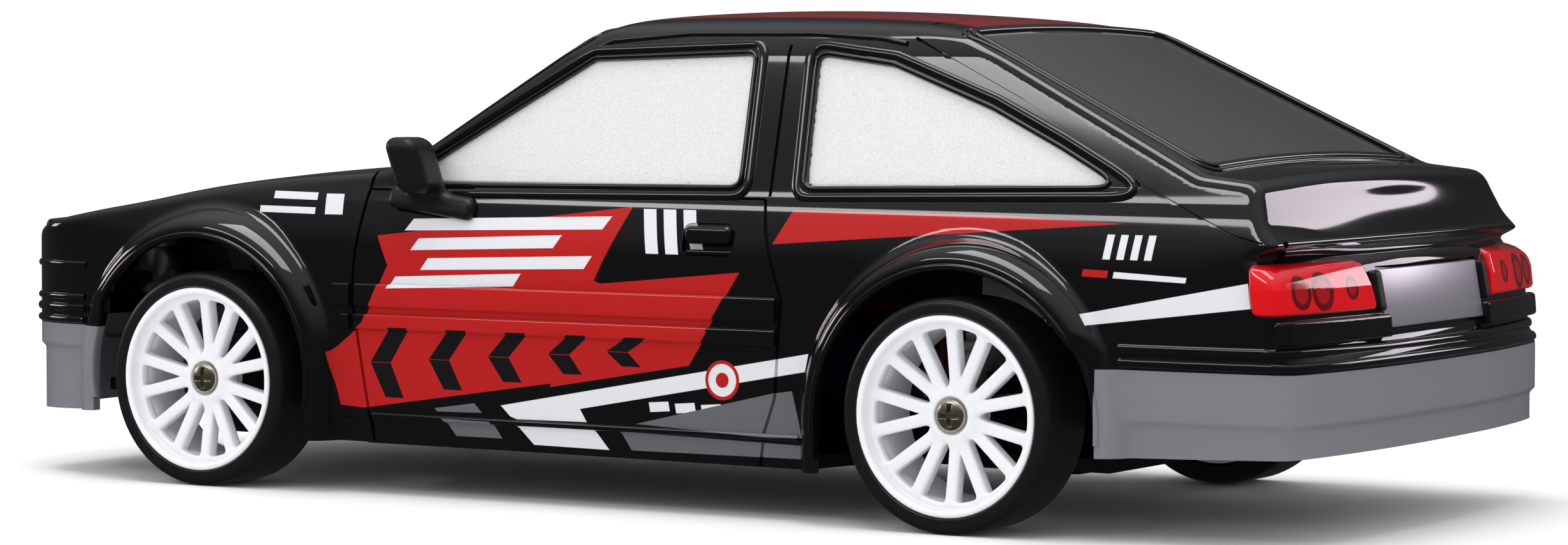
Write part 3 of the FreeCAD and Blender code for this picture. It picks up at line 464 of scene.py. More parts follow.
# ---- Cutters and swept strips ----
def prism(outline, axis, first, last):
    """A closed prism of an outline in the plane across the axis, as points and polygons."""
    n = len(outline)
    points = np.zeros((2 * n, 3))
    others = [k for k in range(3) if k != axis]
    points[:, others] = np.tile(np.array(outline, float), (2, 1))
    points[:n, axis], points[n:, axis] = first, last
    sides = [(i, (i + 1) % n, n + (i + 1) % n, n + i) for i in range(n)]
    faces = [tuple(range(n - 1, -1, -1)), tuple(range(n, 2 * n)), *sides]
    flip = (turn_of(outline) < 0) != (axis == 1)
    return points, [f[::-1] for f in faces] if flip else faces


def strip(path, normals, profile, closed=False):
    """Sweeps a closed profile of (across, out) points along a path that lies on a surface."""
    n, m = len(path), len(profile)
    tangent = np.roll(path, -1, 0) - np.roll(path, 1, 0)
    if not closed:
        tangent[0], tangent[-1] = path[1] - path[0], path[-1] - path[-2]
    tangent /= np.linalg.norm(tangent, axis=1, keepdims=True)
    across = np.cross(normals, tangent)
    across /= np.linalg.norm(across, axis=1, keepdims=True)
    out = np.cross(tangent, across)
    profile = np.array(profile, float)
    points = (path[:, None] + across[:, None] * profile[None, :, :1]
              + out[:, None] * profile[None, :, 1:]).reshape(-1, 3)
    faces = []
    for i in range(n if closed else n - 1):
        j = (i + 1) % n
        faces += [(i * m + k, i * m + (k + 1) % m, j * m + (k + 1) % m, j * m + k) for k in range(m)]
    if not closed:
        faces += [tuple(range(m - 1, -1, -1)), tuple((n - 1) * m + k for k in range(m))]
    return points, faces


def bead(half, height, sink=0.35, steps=8):
    """A half-round profile, sunk a little into what it lies on."""
    angle = np.linspace(math.pi, 0, steps)
    arc = [(half * math.cos(a), height * math.sin(a)) for a in angle]
    return [(-half, -sink), *arc, (half, -sink)][::-1]


def band(half, height, edge=0.3, sink=0.35):
    """A flat raised profile with rounded edges."""
    turn = np.linspace(0, math.pi / 2, 4)
    left = [(-half + edge * (1 - math.sin(a)), height - edge * (1 - math.cos(a))) for a in turn[::-1]]
    left = [(x, max(h, 0)) for x, h in left]
    return [(-half, -sink), *left, *[(-x, h) for x, h in left[::-1]], (half, -sink)][::-1]


def groove(path, normals, width=0.4, depth=0.45):
    """A square cutter that follows a path and stands clear of the surface."""
    half = width / 2
    return strip(path, normals, [(-half, -depth), (half, -depth), (half, 1.0), (-half, 1.0)])


def twin(part):
    """A part and its reflection in the centre plane."""
    points, faces = part
    return joined([part, (points * (1, -1, 1), [f[::-1] for f in faces])])


def joined(parts):
    points, faces, base = [], [], 0
    for p, f in parts:
        points.append(p)
        faces += [tuple(base + i for i in face) for face in f]
        base += len(p)
    return np.concatenate(points), faces


def loose_mesh(name, part, index=0):
    """A mesh datablock from points and polygons of any size."""
    mesh = bpy.data.meshes.new(name)
    mesh.from_pydata([tuple(p) for p in part[0]], [], part[1])
    for polygon in mesh.polygons:
        polygon.material_index = index
    return mesh


def carve(mesh, cutter):
    """Cuts a shape away; the cut faces keep the cutter's material index, 1."""
    solid_cutter = isinstance(cutter, bpy.types.Mesh)
    tool = new_object("cutter", cutter if solid_cutter else loose_mesh("cutter", cutter, 1))
    made = modified(mesh, "BOOLEAN", object=tool, operation="DIFFERENCE", solver="MANIFOLD",
                    material_mode="INDEX")
    bpy.data.objects.remove(tool)
    return made


# ---- Materials ----
class Nodes:
    """Short ways to add shader nodes to a material or a world."""

    def __init__(self, owner):
        owner.use_nodes = True
        self.tree = owner.node_tree

    def feed(self, node, inputs):
        """Links each named input to a socket, or sets its number or colour."""
        for key, value in inputs.items():
            if isinstance(value, bpy.types.NodeSocket):
                self.tree.links.new(value, node.inputs[key])
            else:
                node.inputs[key].default_value = value

    def add(self, kind, inputs=None, **settings):
        node = self.tree.nodes.new(kind)
        for key, value in settings.items():
            setattr(node, key, value)
        self.feed(node, inputs or {})
        return node

    def math(self, operation, *values, clamp=False):
        inputs = dict(enumerate(values))
        return self.add("ShaderNodeMath", inputs, operation=operation, use_clamp=clamp).outputs[0]

    def fold(self, operation, values):
        """One operation over many values."""
        total = values[0]
        for value in values[1:]:
            total = self.math(operation, total, value)
        return total

    def mix(self, share, a, b):
        return self.add("ShaderNodeMix", {"Factor": share, 6: a, 7: b}, data_type="RGBA").outputs[2]

    def split(self, vector):
        return self.add("ShaderNodeSeparateXYZ", {0: vector}).outputs

    def end(self, share, a, b, output):
        """A mix of two shaders into the tree's output."""
        mixed = self.add("ShaderNodeMixShader", {0: share, 1: a, 2: b})
        self.feed(self.tree.nodes[output], {"Surface": mixed.outputs[0]})


def rgb(colour):
    return (*colour, 1.0)


def material(name, colour, rough, metal=0.0, coat=0.0, spread=0.15, scale=900.0, bump=0.0, paint=None,
             sheen=0.5):
    """A procedural surface: its colour and gloss vary a little, and paint adds colours of its own."""
    made = bpy.data.materials.new(name)
    nodes = Nodes(made)
    shader = nodes.tree.nodes["Principled BSDF"]
    position = nodes.add("ShaderNodeTexCoord").outputs["Object"]
    noise = {"Scale": scale, "Detail": 4.0, "Vector": position}
    grain = nodes.add("ShaderNodeTexNoise", noise).outputs["Fac"]
    dark, light = (rgb([min(1.0, c * (1 + change)) for c in colour]) for change in (-spread, spread))
    base = nodes.mix(grain, dark, light)
    roughness = nodes.math("MULTIPLY_ADD", grain, 0.12 * rough, 0.94 * rough)
    if paint:
        base, roughness = paint(nodes, position, base, roughness)
    nodes.feed(shader, {"Base Color": base, "Roughness": roughness, "Metallic": metal, "Coat Weight": coat,
                        "Coat Roughness": 0.03, "Specular IOR Level": sheen})
    if bump:
        relief = nodes.add("ShaderNodeBump", {"Strength": bump, "Distance": 0.05 * MM, "Height": grain})
        nodes.feed(shader, {"Normal": relief.outputs["Normal"]})
    return made


def inside(nodes, position, outline, edge=0.05):
    """Share of being inside a convex outline of station and height points, with a narrow soft edge."""
    flat = [(rear_hub.x + u, z) for u, z in outline]
    turn = turn_of(flat)
    depths = []
    for (ax, az), (bx, bz) in zip(flat, flat[1:] + flat[:1]):
        length = math.hypot(bx - ax, bz - az)
        nx, nz = -turn * (bz - az) / length, turn * (bx - ax) / length
        along = nodes.add("ShaderNodeVectorMath", {0: position, 1: (nx, 0, nz)}, operation="DOT_PRODUCT")
        depths.append(nodes.math("ADD", along.outputs["Value"], -(nx * ax + nz * az) * MM))
    return nodes.math("MULTIPLY", nodes.fold("MINIMUM", depths), 1 / (edge * MM), clamp=True)


def above(nodes, value, limit, edge=0.06):
    """Share of a value in metres being above a limit in millimetres."""
    return nodes.math("MULTIPLY", nodes.math("SUBTRACT", value, limit * MM), 1 / (edge * MM), clamp=True)


def below(nodes, value, limit, edge=0.06):
    return nodes.math("SUBTRACT", 1.0, above(nodes, value, limit, edge))


def disc(nodes, a, b, centre, radius, edge=0.06):
    """Share of being inside a circle whose centre and radius are in millimetres."""
    offsets = [nodes.math("SUBTRACT", value, at * MM) for value, at in zip((a, b), centre)]
    squares = [nodes.math("MULTIPLY", offset, offset) for offset in offsets]
    return below(nodes, nodes.math("SQRT", nodes.math("ADD", *squares)), radius, edge)


RED = (0.40, 0.013, 0.013, 1)
WHITE = (0.66, 0.67, 0.70, 1)
SILVER_GREY = (0.11, 0.115, 0.125, 1)
BUMPER_GREY = (0.175, 0.183, 0.20, 1)
BLACK = (0.006, 0.006, 0.0065, 1)

RED_SHAPES = [
    [(76.5, 29.7), (42.3, 33.6), (46.2, 25.3), (74.6, 26.3)],
    [(74.6, 26.4), (46.2, 25.4), (30.9, 20.2), (77.8, 19.6)],
    [(46.2, 25.0), (27.2, 26.8), (33.5, 16.4), (52.0, 13.3)],
    [(82.4, 16.2), (77.8, 19.7), (30.9, 20.3), (33.5, 16.4), (77.8, 9.9), (81.1, 10.1)],
    [(23.5, 29.9), (21.6, 33.6), (-4.3, 33.6), (-19.1, 33.0)],
    [(-14.6, 28.3), (-17.6, 28.2), (-17.5, 27.4), (-14.5, 27.5)]]
WHITE_SHAPES = [
    [(58.7, 11.0), (18.2, 18.3), (18.6, 16.3), (56.5, 9.5), (57.4, 9.8)],
    [(58.2, 10.9), (48.3, 11.7), (47.0, 9.6), (56.5, 9.5)],
    [(56.7, 8.8), (46.2, 8.8), (44.2, 6.6), (54.4, 6.7)],
    [(-14.9, 23.7), (-33.4, 27.3), (-33.8, 24.7), (-15.7, 22.5)]]
SPEED_LINES = ((72.8, 44.8, 30.9), (71.6, 51.0, 28.7), (70.0, 46.6, 26.5), (74.4, 56.0, 24.3))
WHITE_BARS = [[(first, z - 0.6), (last + 1.0, z + 0.1), (last, z + 1.6), (first - 1.0, z + 0.8)]
              for first, last, z in SPEED_LINES]
WHITE_BARS += [[(u, 33.4), (u - 1.7, 33.4), (u - 3.0, 28.5), (u - 1.3, 28.5)] for u in (40.9, 38.3, 35.7)]
WHITE_BARS += [[(u, 12.2), (u - 2.6, 12.4), (u - 2.8, 11.3), (u - 0.2, 11.1)]
               for u in (38.8, 35.4, 32.0, 28.6)]
WHITE_BARS += [[(85.0, 34.3), (82.4, 34.3), (82.0, 31.9), (84.6, 31.9)],
               [(92.6, 34.5), (86.2, 34.4), (86.1, 33.5), (92.5, 33.6)],
               [(94.2, 32.8), (86.1, 32.7), (86.0, 31.9), (94.1, 32.0)]]
WHITE_BARS += [[(u, 31.9), (u - 0.9, 31.9), (u - 0.7, 29.3), (u + 0.2, 29.3)]
               for u in (-16.9, -18.5, -20.1, -21.7)]
WHITE_BARS += [[(-18.2, 28.1), (-26.6, 27.7), (-26.5, 27.1), (-18.1, 27.4)]]
TALONS = (75.6, 67.4, 59.2, 51.0, 43.2)


def talon(u):
    """Two black slants that meet in a point, between the edges of the lower red field."""
    low = 10.9 + 0.147 * (77.8 - u)
    mid, top = (low + 19.2) / 2, 19.3
    return [[(u + 1.2, mid), (u - 1.7, mid), (u - 4.4, top), (u - 1.6, top)],
            [(u + 1.2, mid), (u - 1.7, mid), (u - 3.5, low), (u - 0.9, low)]]


BLACK_BARS = [half for u in TALONS for half in talon(u)]
GREY_SHAPES = [
    [(67.9, 10.3), (62.3, 11.1), (61.2, 10.0), (67.5, 9.9)],
    [(66.8, 9.2), (60.1, 9.1), (58.7, 7.2), (65.1, 7.2)],
    [(40.7, 9.7), (23.0, 13.8), (20.3, 14.2), (19.0, 9.1), (23.9, 9.0)],
    [(42.8, 8.8), (19.4, 8.3), (19.4, 6.8), (41.3, 6.7)]]


SIDE_FROM = 28.0               # the side graphics lie further out than this
ROUND_MARK = (rear_hub.x + 29.2, 15.0)
LAMP_ROUNDS = ((26.3, 26.3, 1.95), (20.6, 26.5, 1.2), (30.2, 26.3, 1.7))


def livery(nodes, position, base, roughness):
    """Flat colour shapes of the body: side graphics, red roof and satin grey lower bumpers."""
    station, y, height = nodes.split(position)
    away = nodes.math("ABSOLUTE", y)
    side = above(nodes, away, SIDE_FROM)
    for shapes, colour in ((RED_SHAPES, RED), (WHITE_BARS, WHITE), (BLACK_BARS, BLACK),
                           (WHITE_SHAPES, WHITE), (GREY_SHAPES, SILVER_GREY)):
        cover = nodes.fold("MAXIMUM", [inside(nodes, position, outline) for outline in shapes])
        base = nodes.mix(nodes.math("MULTIPLY", cover, side), base, colour)
    for radius, colour in ((2.15, RED), (1.75, WHITE), (0.8, RED)):
        mark = disc(nodes, station, height, ROUND_MARK, radius)
        base = nodes.mix(nodes.math("MULTIPLY", side, mark), base, colour)
    roof = (below(nodes, away, 17.0, 1.6), above(nodes, station, rear_hub.x + 5.6),
            below(nodes, station, rear_hub.x + 51.5), above(nodes, height, up(0.80)))
    base = nodes.mix(nodes.fold("MULTIPLY", roof), base, RED)
    ends = nodes.math("MAXIMUM", below(nodes, station, rear_hub.x - 17.0),
                      above(nodes, station, rear_hub.x + 113.5))
    grey = nodes.math("MULTIPLY", below(nodes, height, 18.0), ends)
    base = nodes.mix(grey, base, BUMPER_GREY)
    return base, nodes.math("ADD", roughness, nodes.math("MULTIPLY", grey, 0.22))


def lamp_rings(nodes, position, base, roughness):
    """Round reflectors behind the red lens, painted as dark red rings: partly their own darker red, and
    partly painted shade of the hollow cups that are not built.
    """
    _, y, height = nodes.split(position)
    away = nodes.math("ABSOLUTE", y)
    for *centre, radius in LAMP_ROUNDS:
        # Painted shade: a dark outer ring with a less dark middle stands in for each hollow reflector cup.
        for share, colour in ((1.0, (0.10, 0.002, 0.003)), (0.62, (0.30, 0.004, 0.006))):
            cover = disc(nodes, away, height, centre, radius * share, 0.12)
            base = nodes.mix(cover, base, rgb(colour))
    return base, roughness


paint = material("body_paint", (0.0030, 0.0030, 0.0034), 0.06, coat=0.4, paint=livery, scale=300.0)
inner_black = material("inner_black", (0.004, 0.004, 0.0045), 0.6, bump=0.25, sheen=0.25)
gloss_black = material("gloss_black", (0.0032, 0.0032, 0.0036), 0.10, coat=0.3)
trim_black = material("trim_black", (0.006, 0.006, 0.0065), 0.40, bump=0.2, sheen=0.35)
pane_silver = material("window_silver", (0.66, 0.66, 0.65), 0.42, metal=0.15, spread=0.22, scale=4200.0,
                       bump=0.35)
smoked = material("smoked_glass", (0.052, 0.052, 0.049), 0.24, coat=0.3)
# The red lens carries painted shade in its reflector rings.
lens_red = material("lamp_red", (0.60, 0.004, 0.008), 0.10, coat=0.6, paint=lamp_rings, spread=0.08)
lens_clear = material("lamp_clear", (0.70, 0.72, 0.74), 0.10, metal=0.5, coat=0.8)
# The plate's own silver, with a lilac tint that is painted reflection of the lilac softboxes.
plate_silver_with_painted_lilac = material("plate_silver", (0.50, 0.48, 0.54), 0.30, metal=0.75, spread=0.06)
wheel_white = material("wheel_white", (0.80, 0.81, 0.84), 0.24, coat=0.2, spread=0.03)
tyre_black = material("tyre", (0.007, 0.007, 0.0075), 0.36, bump=0.2, spread=0.3, sheen=0.4)
screw_metal = material("screw_steel", (0.60, 0.55, 0.42), 0.26, metal=1.0)
KEPT = {"screw_steel": screw_metal}     # surfaces of the CAD pieces that stay visible
for look_name, *look in (("shaft_steel", (0.58, 0.58, 0.60), 0.22, 1.0),
                         ("contact_steel", (0.55, 0.55, 0.56), 0.32, 1.0),
                         ("brass", (0.68, 0.47, 0.16), 0.28, 1.0),
                         ("gear_nylon", (0.74, 0.73, 0.68), 0.40),
                         # The battery wrap and the red wires are much darker than their own colours: painted
                         # shade, for the shadow they lie in under the shell.
                         ("battery_wrap", (0.006, 0.016, 0.04), 0.35),
                         ("wire_red", (0.10, 0.004, 0.004), 0.45),
                         ("board_green", (0.012, 0.14, 0.06), 0.35, 0.0, 0.0, 0.35)):
    KEPT[look_name] = material(look_name, *look)
KEPT["chassis_black"] = material("chassis_black", (0.006, 0.006, 0.0065), 0.52, bump=0.5, spread=0.25,
                                 sheen=0.3)


# ---- Pieces ----
def piece(name, mesh, slot, materials, body_name="chassis", nodes=(), sharp=38.0, field=None, reach=0.25):
    """A visible object from a mesh in car coordinates. A field gives its first material smooth normals."""
    if not isinstance(mesh, bpy.types.Mesh):
        mesh = loose_mesh(name, mesh)
    points = read(mesh.vertices, "co", 3, np.float32).astype(float)
    mesh.materials.clear()
    for one in materials:
        mesh.materials.append(one)
    mesh.shade_smooth()
    if field:
        field_normals(mesh, points, field, reach)
    else:
        mesh.set_sharp_from_angle(angle=math.radians(sharp))
    mesh.vertices.foreach_set("co", place(points).astype(np.float32).ravel())
    mesh.update()
    made = new_object(name, mesh)
    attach(made, body_name)
    if nodes:
        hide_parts(*nodes)


def field_normals(mesh, points, field, reach):
    """Normals from the field on faces of the first material, and flat ones elsewhere."""
    slopes = slope_of(field, points, reach)
    totals = read(mesh.polygons, "loop_total")
    flat = np.repeat(read(mesh.polygons, "normal", 3, np.float32), totals, axis=0)
    smooth = np.repeat(read(mesh.polygons, "material_index") == 0, totals)
    normals = np.where(smooth[:, None], slopes[read(mesh.loops, "vertex_index")], flat)
    against = np.sum(normals * flat, axis=1) < 0.2
    normals[against] = flat[against]
    mesh.normals_split_custom_set(normals.astype(float).tolist())


def solid(name, field, low, high, step, **facts):
    """A visible object from a field, with the field's own normals."""
    points, faces = skin(field, low, high, step)
    mesh = mesh_of(name, settle(field, points, 2), faces)
    piece(name, mesh, field=field, reach=0.08, **facts)


def both(name, field, low, high, step, nodes=(), **facts):
    """A left and a right solid from a field on the left side. {} in a node's name stands for the side."""
    def reflected(u, y, z):
        return field(u, -y, z)

    far_low, far_high = (low[0], -high[1], low[2]), (high[0], -low[1], high[2])
    for end, shape, a, b in (("left", field, low, high), ("right", reflected, far_low, far_high)):
        solid(name + "_" + end, shape, a, b, step, nodes=[n.format(end) for n in nodes], **facts)


def rounded_box(u, y, z, centre, half, radius):
    """Signed distance of a box with round edges."""
    q = [np.abs(v - c) - (h - radius) for v, c, h in zip((u, y, z), centre, half)]
    outside = np.sqrt(sum(np.maximum(v, 0) ** 2 for v in q))
    return outside + np.minimum(np.maximum(np.maximum(q[0], q[1]), q[2]), 0) - radius


def lathe(profile, side, u, z, count=72):
    """Turns (radius, distance to one side) points about a wheel's axle. side is 1 for left, -1 for right."""
    profile = [(r, side * y) for r, y in profile][::side]
    turn = np.linspace(0, 2 * math.pi, count, endpoint=False)
    points = [(u + r * math.cos(a), y, z + r * math.sin(a)) for a in turn for r, y in profile]
    m = len(profile)
    faces = []
    for i in range(count):
        j = (i + 1) % count
        faces += [(i * m + k, j * m + k, j * m + (k + 1) % m, i * m + (k + 1) % m) for k in range(m)]
    return np.array(points), faces


# ---- The shell ----
SILL_LINE = [(-46.0, 9.4), (-40.6, 9.4), (-17.0, 8.8), (-9.0, 5.7), (18.0, 5.7), (83.0, 6.0), (111.0, 6.0),
             (116.6, 8.0), (132.1, 7.5), (138.0, 7.5), (138.0, -12.0), (-46.0, -12.0)]
FRONT_SHUT = [(78.8, 37.2), (79.4, 26.7), (79.4, 22.4), (77.1, 9.4), (76.6, 6.2)]
REAR_SHUT = [(25.4, 34.6), (24.5, 31.0), (21.8, 24.1), (22.5, 13.3), (24.2, 8.7), (24.6, 5.9)]
PILLAR_SHUT = [(25.0, 35.0), (26.2, 51.5)]
HATCH_SHUT = [(10.8, 52.3), (-4.0, 45.6), (-19.8, 36.9), (-31.1, 32.0), (-34.6, 31.2)]
BELT_SEAM = [(25.4, 34.7), (78.7, 34.9)]
HANDLE = [(35.2, 32.0), (28.4, 32.0), (28.4, 28.4), (35.2, 28.4)]


def arch_opening(arch):
    u, z, r = arch
    turn = np.linspace(0, math.pi, 41)
    outline = [(u + r * math.cos(a), z + r * math.sin(a)) for a in turn]
    return twin(prism(outline + [(u - r, -9.0), (u + r, -9.0)], 1, 22.0, 45.0))


def shell_outside(u, y, z):
    return np.maximum(body(u, y, z), 2.0 - z)


def shell_inside(u, y, z):
    return np.maximum(body(u, y, z) + WALL, -3.0 - z)


def make_shell():
    high = (NOSE + 1.5, FLARE_Y + 1.7, ROOF_Z + 1.5)
    points, faces = half_solid(shell_outside, (TAIL - 1.5, 0, 1.0), high, 0.36, 0.21)
    outside = mesh_of("outside", points, faces)
    outside.materials.append(paint)
    outside.materials.append(inner_black)
    points, faces = half_solid(shell_inside, (TAIL - 1.5, 0, -4.2), high, 1.1, 0.5)
    mesh = carve(outside, mesh_of("inside", points, faces, 1))
    cutters = [arch_opening(REAR_ARCH), arch_opening(FRONT_ARCH), prism(SILL_LINE, 1, -45.0, 45.0)]
    cutters += [twin(prism(rounded(w, 1.3), 1, 20.0, 45.0)) for w in (DOOR_WINDOW, QUARTER_WINDOW)]
    cutters += [prism(rounded(w, 2.0), 2, 37.0, 62.0) for w in (WINDSCREEN, HATCH_GLASS)]
    recess = [(-46.0, 21.6), (-39.4, 21.6), (-38.3, 28.4), (-46.0, 28.4)]
    cutters.append(prism(recess, 1, -PLATE_HALF, PLATE_HALF))
    cutters.append(twin(prism(rounded(HANDLE, 1.2), 1, 32.2, 42.0)))
    cutters += [twin(groove(*on_side(p))) for p in (FRONT_SHUT, REAR_SHUT, PILLAR_SHUT, HATCH_SHUT)]
    cutters.append(twin(groove(*on_side(BELT_SEAM), width=0.28)))
    cutters.append(groove(*on_top([(10.6, -20.5), (10.6, 20.5)])))
    for cutter in cutters:
        mesh = carve(mesh, cutter)
    piece("shell", mesh, "body_paint", [paint, inner_black], nodes=("body_shell",), field=body)


make_shell()


# ---- Windows ----
def pane_field(outline, axis, sink, thick=1.3):
    """A thin sheet that follows the body inside an outline in the plane across an axis."""
    shape = Outline(rounded(outline, 1.3), 0.2)

    def field(u, y, z):
        here = body(u, y, z) + sink
        across = shape(u, z if axis == 1 else y)
        return np.maximum(np.maximum(here, -(here + thick)), across)
    return field


def make_panes():
    for name, outline in (("door_window", DOOR_WINDOW), ("quarter_window", QUARTER_WINDOW)):
        low, high = np.min(outline, axis=0) - 1, np.max(outline, axis=0) + 1
        both(name, pane_field(outline, 1, 0.35), (low[0], 20.0, low[1]), (high[0], 36.0, high[1]), 0.45,
             nodes=[name + "_{}"], slot="window_silver", materials=[pane_silver])
    for name, outline in (("windscreen", WINDSCREEN), ("hatch_glass", HATCH_GLASS)):
        low, high = np.min(outline, axis=0) - 1, np.max(outline, axis=0) + 1
        solid(name, pane_field(outline, 2, 0.3), (*low, 36.0), (*high, 56.0), 0.55, nodes=(name,),
              slot="smoked_glass", materials=[smoked])


def seal(lay, outline, by, radius, step, profile):
    """A bead round a window, moved out from its outline by a distance."""
    return strip(*lay(rounded(grow(outline, by), radius), step, True), profile, True)


def make_window_frames():
    for name, outline in (("door_frames", DOOR_WINDOW), ("quarter_frames", QUARTER_WINDOW)):
        rubber = seal(on_side, outline, 0.1, 1.3, 0.5, bead(0.32, 0.3, 0.5))
        wide = seal(on_side, outline, 1.0, 1.8, 0.5, bead(0.62, 0.38))
        piece(name, joined([twin(rubber), twin(wide)]), "trim_black", [gloss_black])
    for name, outline in (("screen_frame", WINDSCREEN), ("hatch_frame", HATCH_GLASS)):
        rubber = seal(on_top, outline, 0.25, 2.0, 0.6, bead(0.42, 0.32, 0.5))
        rim_line = seal(on_top, outline, 1.15, 2.4, 0.6, bead(0.28, 0.22))
        piece(name, joined([rubber, rim_line]), "trim_black", [gloss_black])


make_panes()
make_window_frames()


# ---- Side mouldings ----
def make_mouldings():
    shut = 0.35
    runs = []
    for z, half in ((22.85, 1.35), (19.85, 0.9)):
        for first, last in ((79.3 + shut, 82.4 - (24.0 - z) * 0.4), (22.0 + shut, 79.2 - shut)):
            runs.append(strip(*on_side([(first, z), (last, z)], 0.9), band(half, 0.5, 0.32)))
    piece("side_mouldings", twin(joined(runs)), "body_paint", [paint])
    ledge = strip(*on_side([(19.5, 9.1), (76.6, 9.1)], 0.9), bead(0.35, 0.3))
    piece("sill_ledges", twin(ledge), "body_paint", [paint])
    drip_path = [(11.6, 53.2), (15.0, 53.8), (24.0, 54.3), (40.0, 54.3), (50.0, 53.5), (54.5, 51.2),
                 (75.5, 38.6)]
    start = np.array([(u, 48.0, z - 1.6) for u, z in resample(drip_path, 0.8)])
    piece("drip_rails", twin(strip(*cast(start, (0, -1, 0)), bead(0.35, 0.35))), "trim_black", [gloss_black])
    lips = []
    for u, z, r in (REAR_ARCH, FRONT_ARCH):
        turn = np.linspace(math.radians(-14), math.radians(194), 90)
        q = [(u + (r + 0.25) * math.cos(a), z + (r + 0.25) * math.sin(a)) for a in turn]
        lips.append(strip(*on_side([c for c in q if c[1] > 9.5], 0.6), bead(0.36, 0.28, 0.5)))
    piece("arch_lips", twin(joined(lips)), "body_paint", [paint])


def handle_field(u, y, z):
    flap = rounded_box(u, y, z, (31.8, 32.6, 30.7), (3.0, 0.75, 1.0), 0.7)
    return soft_min(flap, rounded_box(u, y, z, (31.8, 32.3, 28.75), (3.1, 0.8, 0.35), 0.3), 0.2)


make_mouldings()
both("door_handle", handle_field, (28.0, 31.2, 28.0), (35.6, 34.2, 32.2), 0.16, slot="body_paint",
     materials=[gloss_black])


# ---- Mirrors ----
def mirror_field(u, y, z):
    lean = u - 0.25 * (z - 37.5)
    head = rounded_box(lean, y - 0.12 * (z - 37.5), z, (70.6, 33.8, 37.8), (2.3, 2.5, 3.2), 1.5)
    foot = rounded_box(u, y + 0.3 * (z - 34), z - 0.12 * (u - 70), (69.4, 31.4, 33.6), (6.0, 1.6, 1.3), 1.0)
    return soft_min(head, foot, 1.8)


both("door_mirror", mirror_field, (62.0, 28.5, 31.4), (77.0, 37.2, 41.8), 0.3, nodes=["door_mirror_{}"],
     slot="trim_black", materials=[trim_black])


# ---- Tail ----
def raised(here, z, proud, centre, half, edge, ends, corner=0.5):
    """A patch that stands proud of the body at some heights, where here is the distance from the body."""
    f = soft_max(here - proud, np.abs(z - centre) - half, edge)
    return soft_max(np.maximum(f, -(here + 0.5)), ends, corner)


def lens_field(u, y, z):
    """The tail lamp's lens wraps round the corner."""
    proud = np.interp(z, (23.7, 24.1, 24.5, 26.6, 28.7, 29.2), (0.0, 0.6, 0.85, 0.95, 0.6, 0.1))
    up_lamp = z - LAMP_LOW
    ends = np.maximum(LAMP_INNER + 0.25 * up_lamp - y, u - LAMP_FRONT - 0.14 * up_lamp)
    return raised(body(u, y, z), z, proud, 26.6, 2.6, 0.4, ends)


def under_lamp_field(u, y, z):
    return raised(body(u, y, z), z, 0.95, 22.3, 1.25, 0.5, np.maximum(13.0 - y, u + 36.6))


def bracket_field(u, y, z):
    return raised(body(u, y, z), z, 0.7, 25.9, 2.1, 0.4, np.abs(y - 14.2) - 0.8, 0.4)


def ridges(name, centre, bearing, rows):
    """Level ribs round one end of the body, each a height, half width, standing and reach in degrees."""
    lips = [strip(*around(z, centre, bearing - reach, bearing + reach), bead(half, stand))
            for z, half, stand, reach in rows]
    piece(name, joined(lips), "body_paint", [paint])


def make_tail():
    low, high = (-43.5, 12.0, 20.5), (-31.5, 37.0, 30.0)
    both("tail_lamp", lens_field, low, high, 0.22, nodes=["tail_lamp_{}"], slot="lamp_red",
         materials=[lens_red])
    both("under_lamp", under_lamp_field, low, high, 0.22, slot="body_paint", materials=[gloss_black])
    both("lamp_bracket", bracket_field, low, high, 0.22, slot="trim_black", materials=[trim_black])
    plate = [(-39.85, 21.9), (-39.3, 21.9), (-38.25, 28.1), (-38.8, 28.1)]
    mesh = loose_mesh("plate", prism(plate, 1, -PLATE_HALF + 0.25, PLATE_HALF - 0.25))
    mesh = modified(mesh, "BEVEL", width=0.18, segments=3)
    piece("plate_panel", mesh, "plate_silver", [plate_silver_with_painted_lilac], nodes=("plate_panel",))
    ridges("tail_ridges", -10.0, 180, ((20.2, 0.55, 0.4, 75), (18.75, 0.5, 0.35, 75), (31.2, 0.35, 0.3, 49),
                                       (30.1, 0.6, 0.4, 49)))


make_tail()


# ---- Nose ----
LAMPS_FROM = 128.0             # the headlamps and the grille lie ahead of this station


def headlamp_field(u, y, z):
    ends = np.maximum(np.abs(y - 18.0) - 8.0, LAMPS_FROM - u)
    return raised(body(u, y, z), z, 0.35, 24.6, 1.9, 0.4, ends, 0.6)


def grille_field(u, y, z):
    rib = 0.35 * np.cos(z * 2 * math.pi / 1.3)
    ends = np.maximum(np.abs(y) - 9.0, LAMPS_FROM - u)
    return raised(body(u, y, z), z, 0.2 + rib, 24.5, 1.95, 0.2, ends, 0.4)


def make_nose():
    both("headlamp", headlamp_field, (123.0, 9.0, 22.0), (136.0, 35.0, 27.4), 0.25, nodes=["headlamps"],
         slot="lamp_clear", materials=[lens_clear])
    solid("front_grille", grille_field, (127.0, -10.0, 22.0), (136.0, 10.0, 27.4), 0.22, slot="trim_black",
          materials=[trim_black], nodes=("front_grille",))
    ridges("nose_ridges", 95.0, 0, ((25.2, 0.4, 0.3, 54), (21.3, 0.4, 0.35, 54), (20.0, 0.5, 0.4, 54),
                                    (18.6, 0.45, 0.4, 54)))


make_nose()


# ---- Wheels ----
SPOKES = 14
HUB_LINE, RIM_LINE = 0.55, 2.2     # a spoke's middle, off the line between a pair, at hub and rim
SPOKE_HALF = 0.68


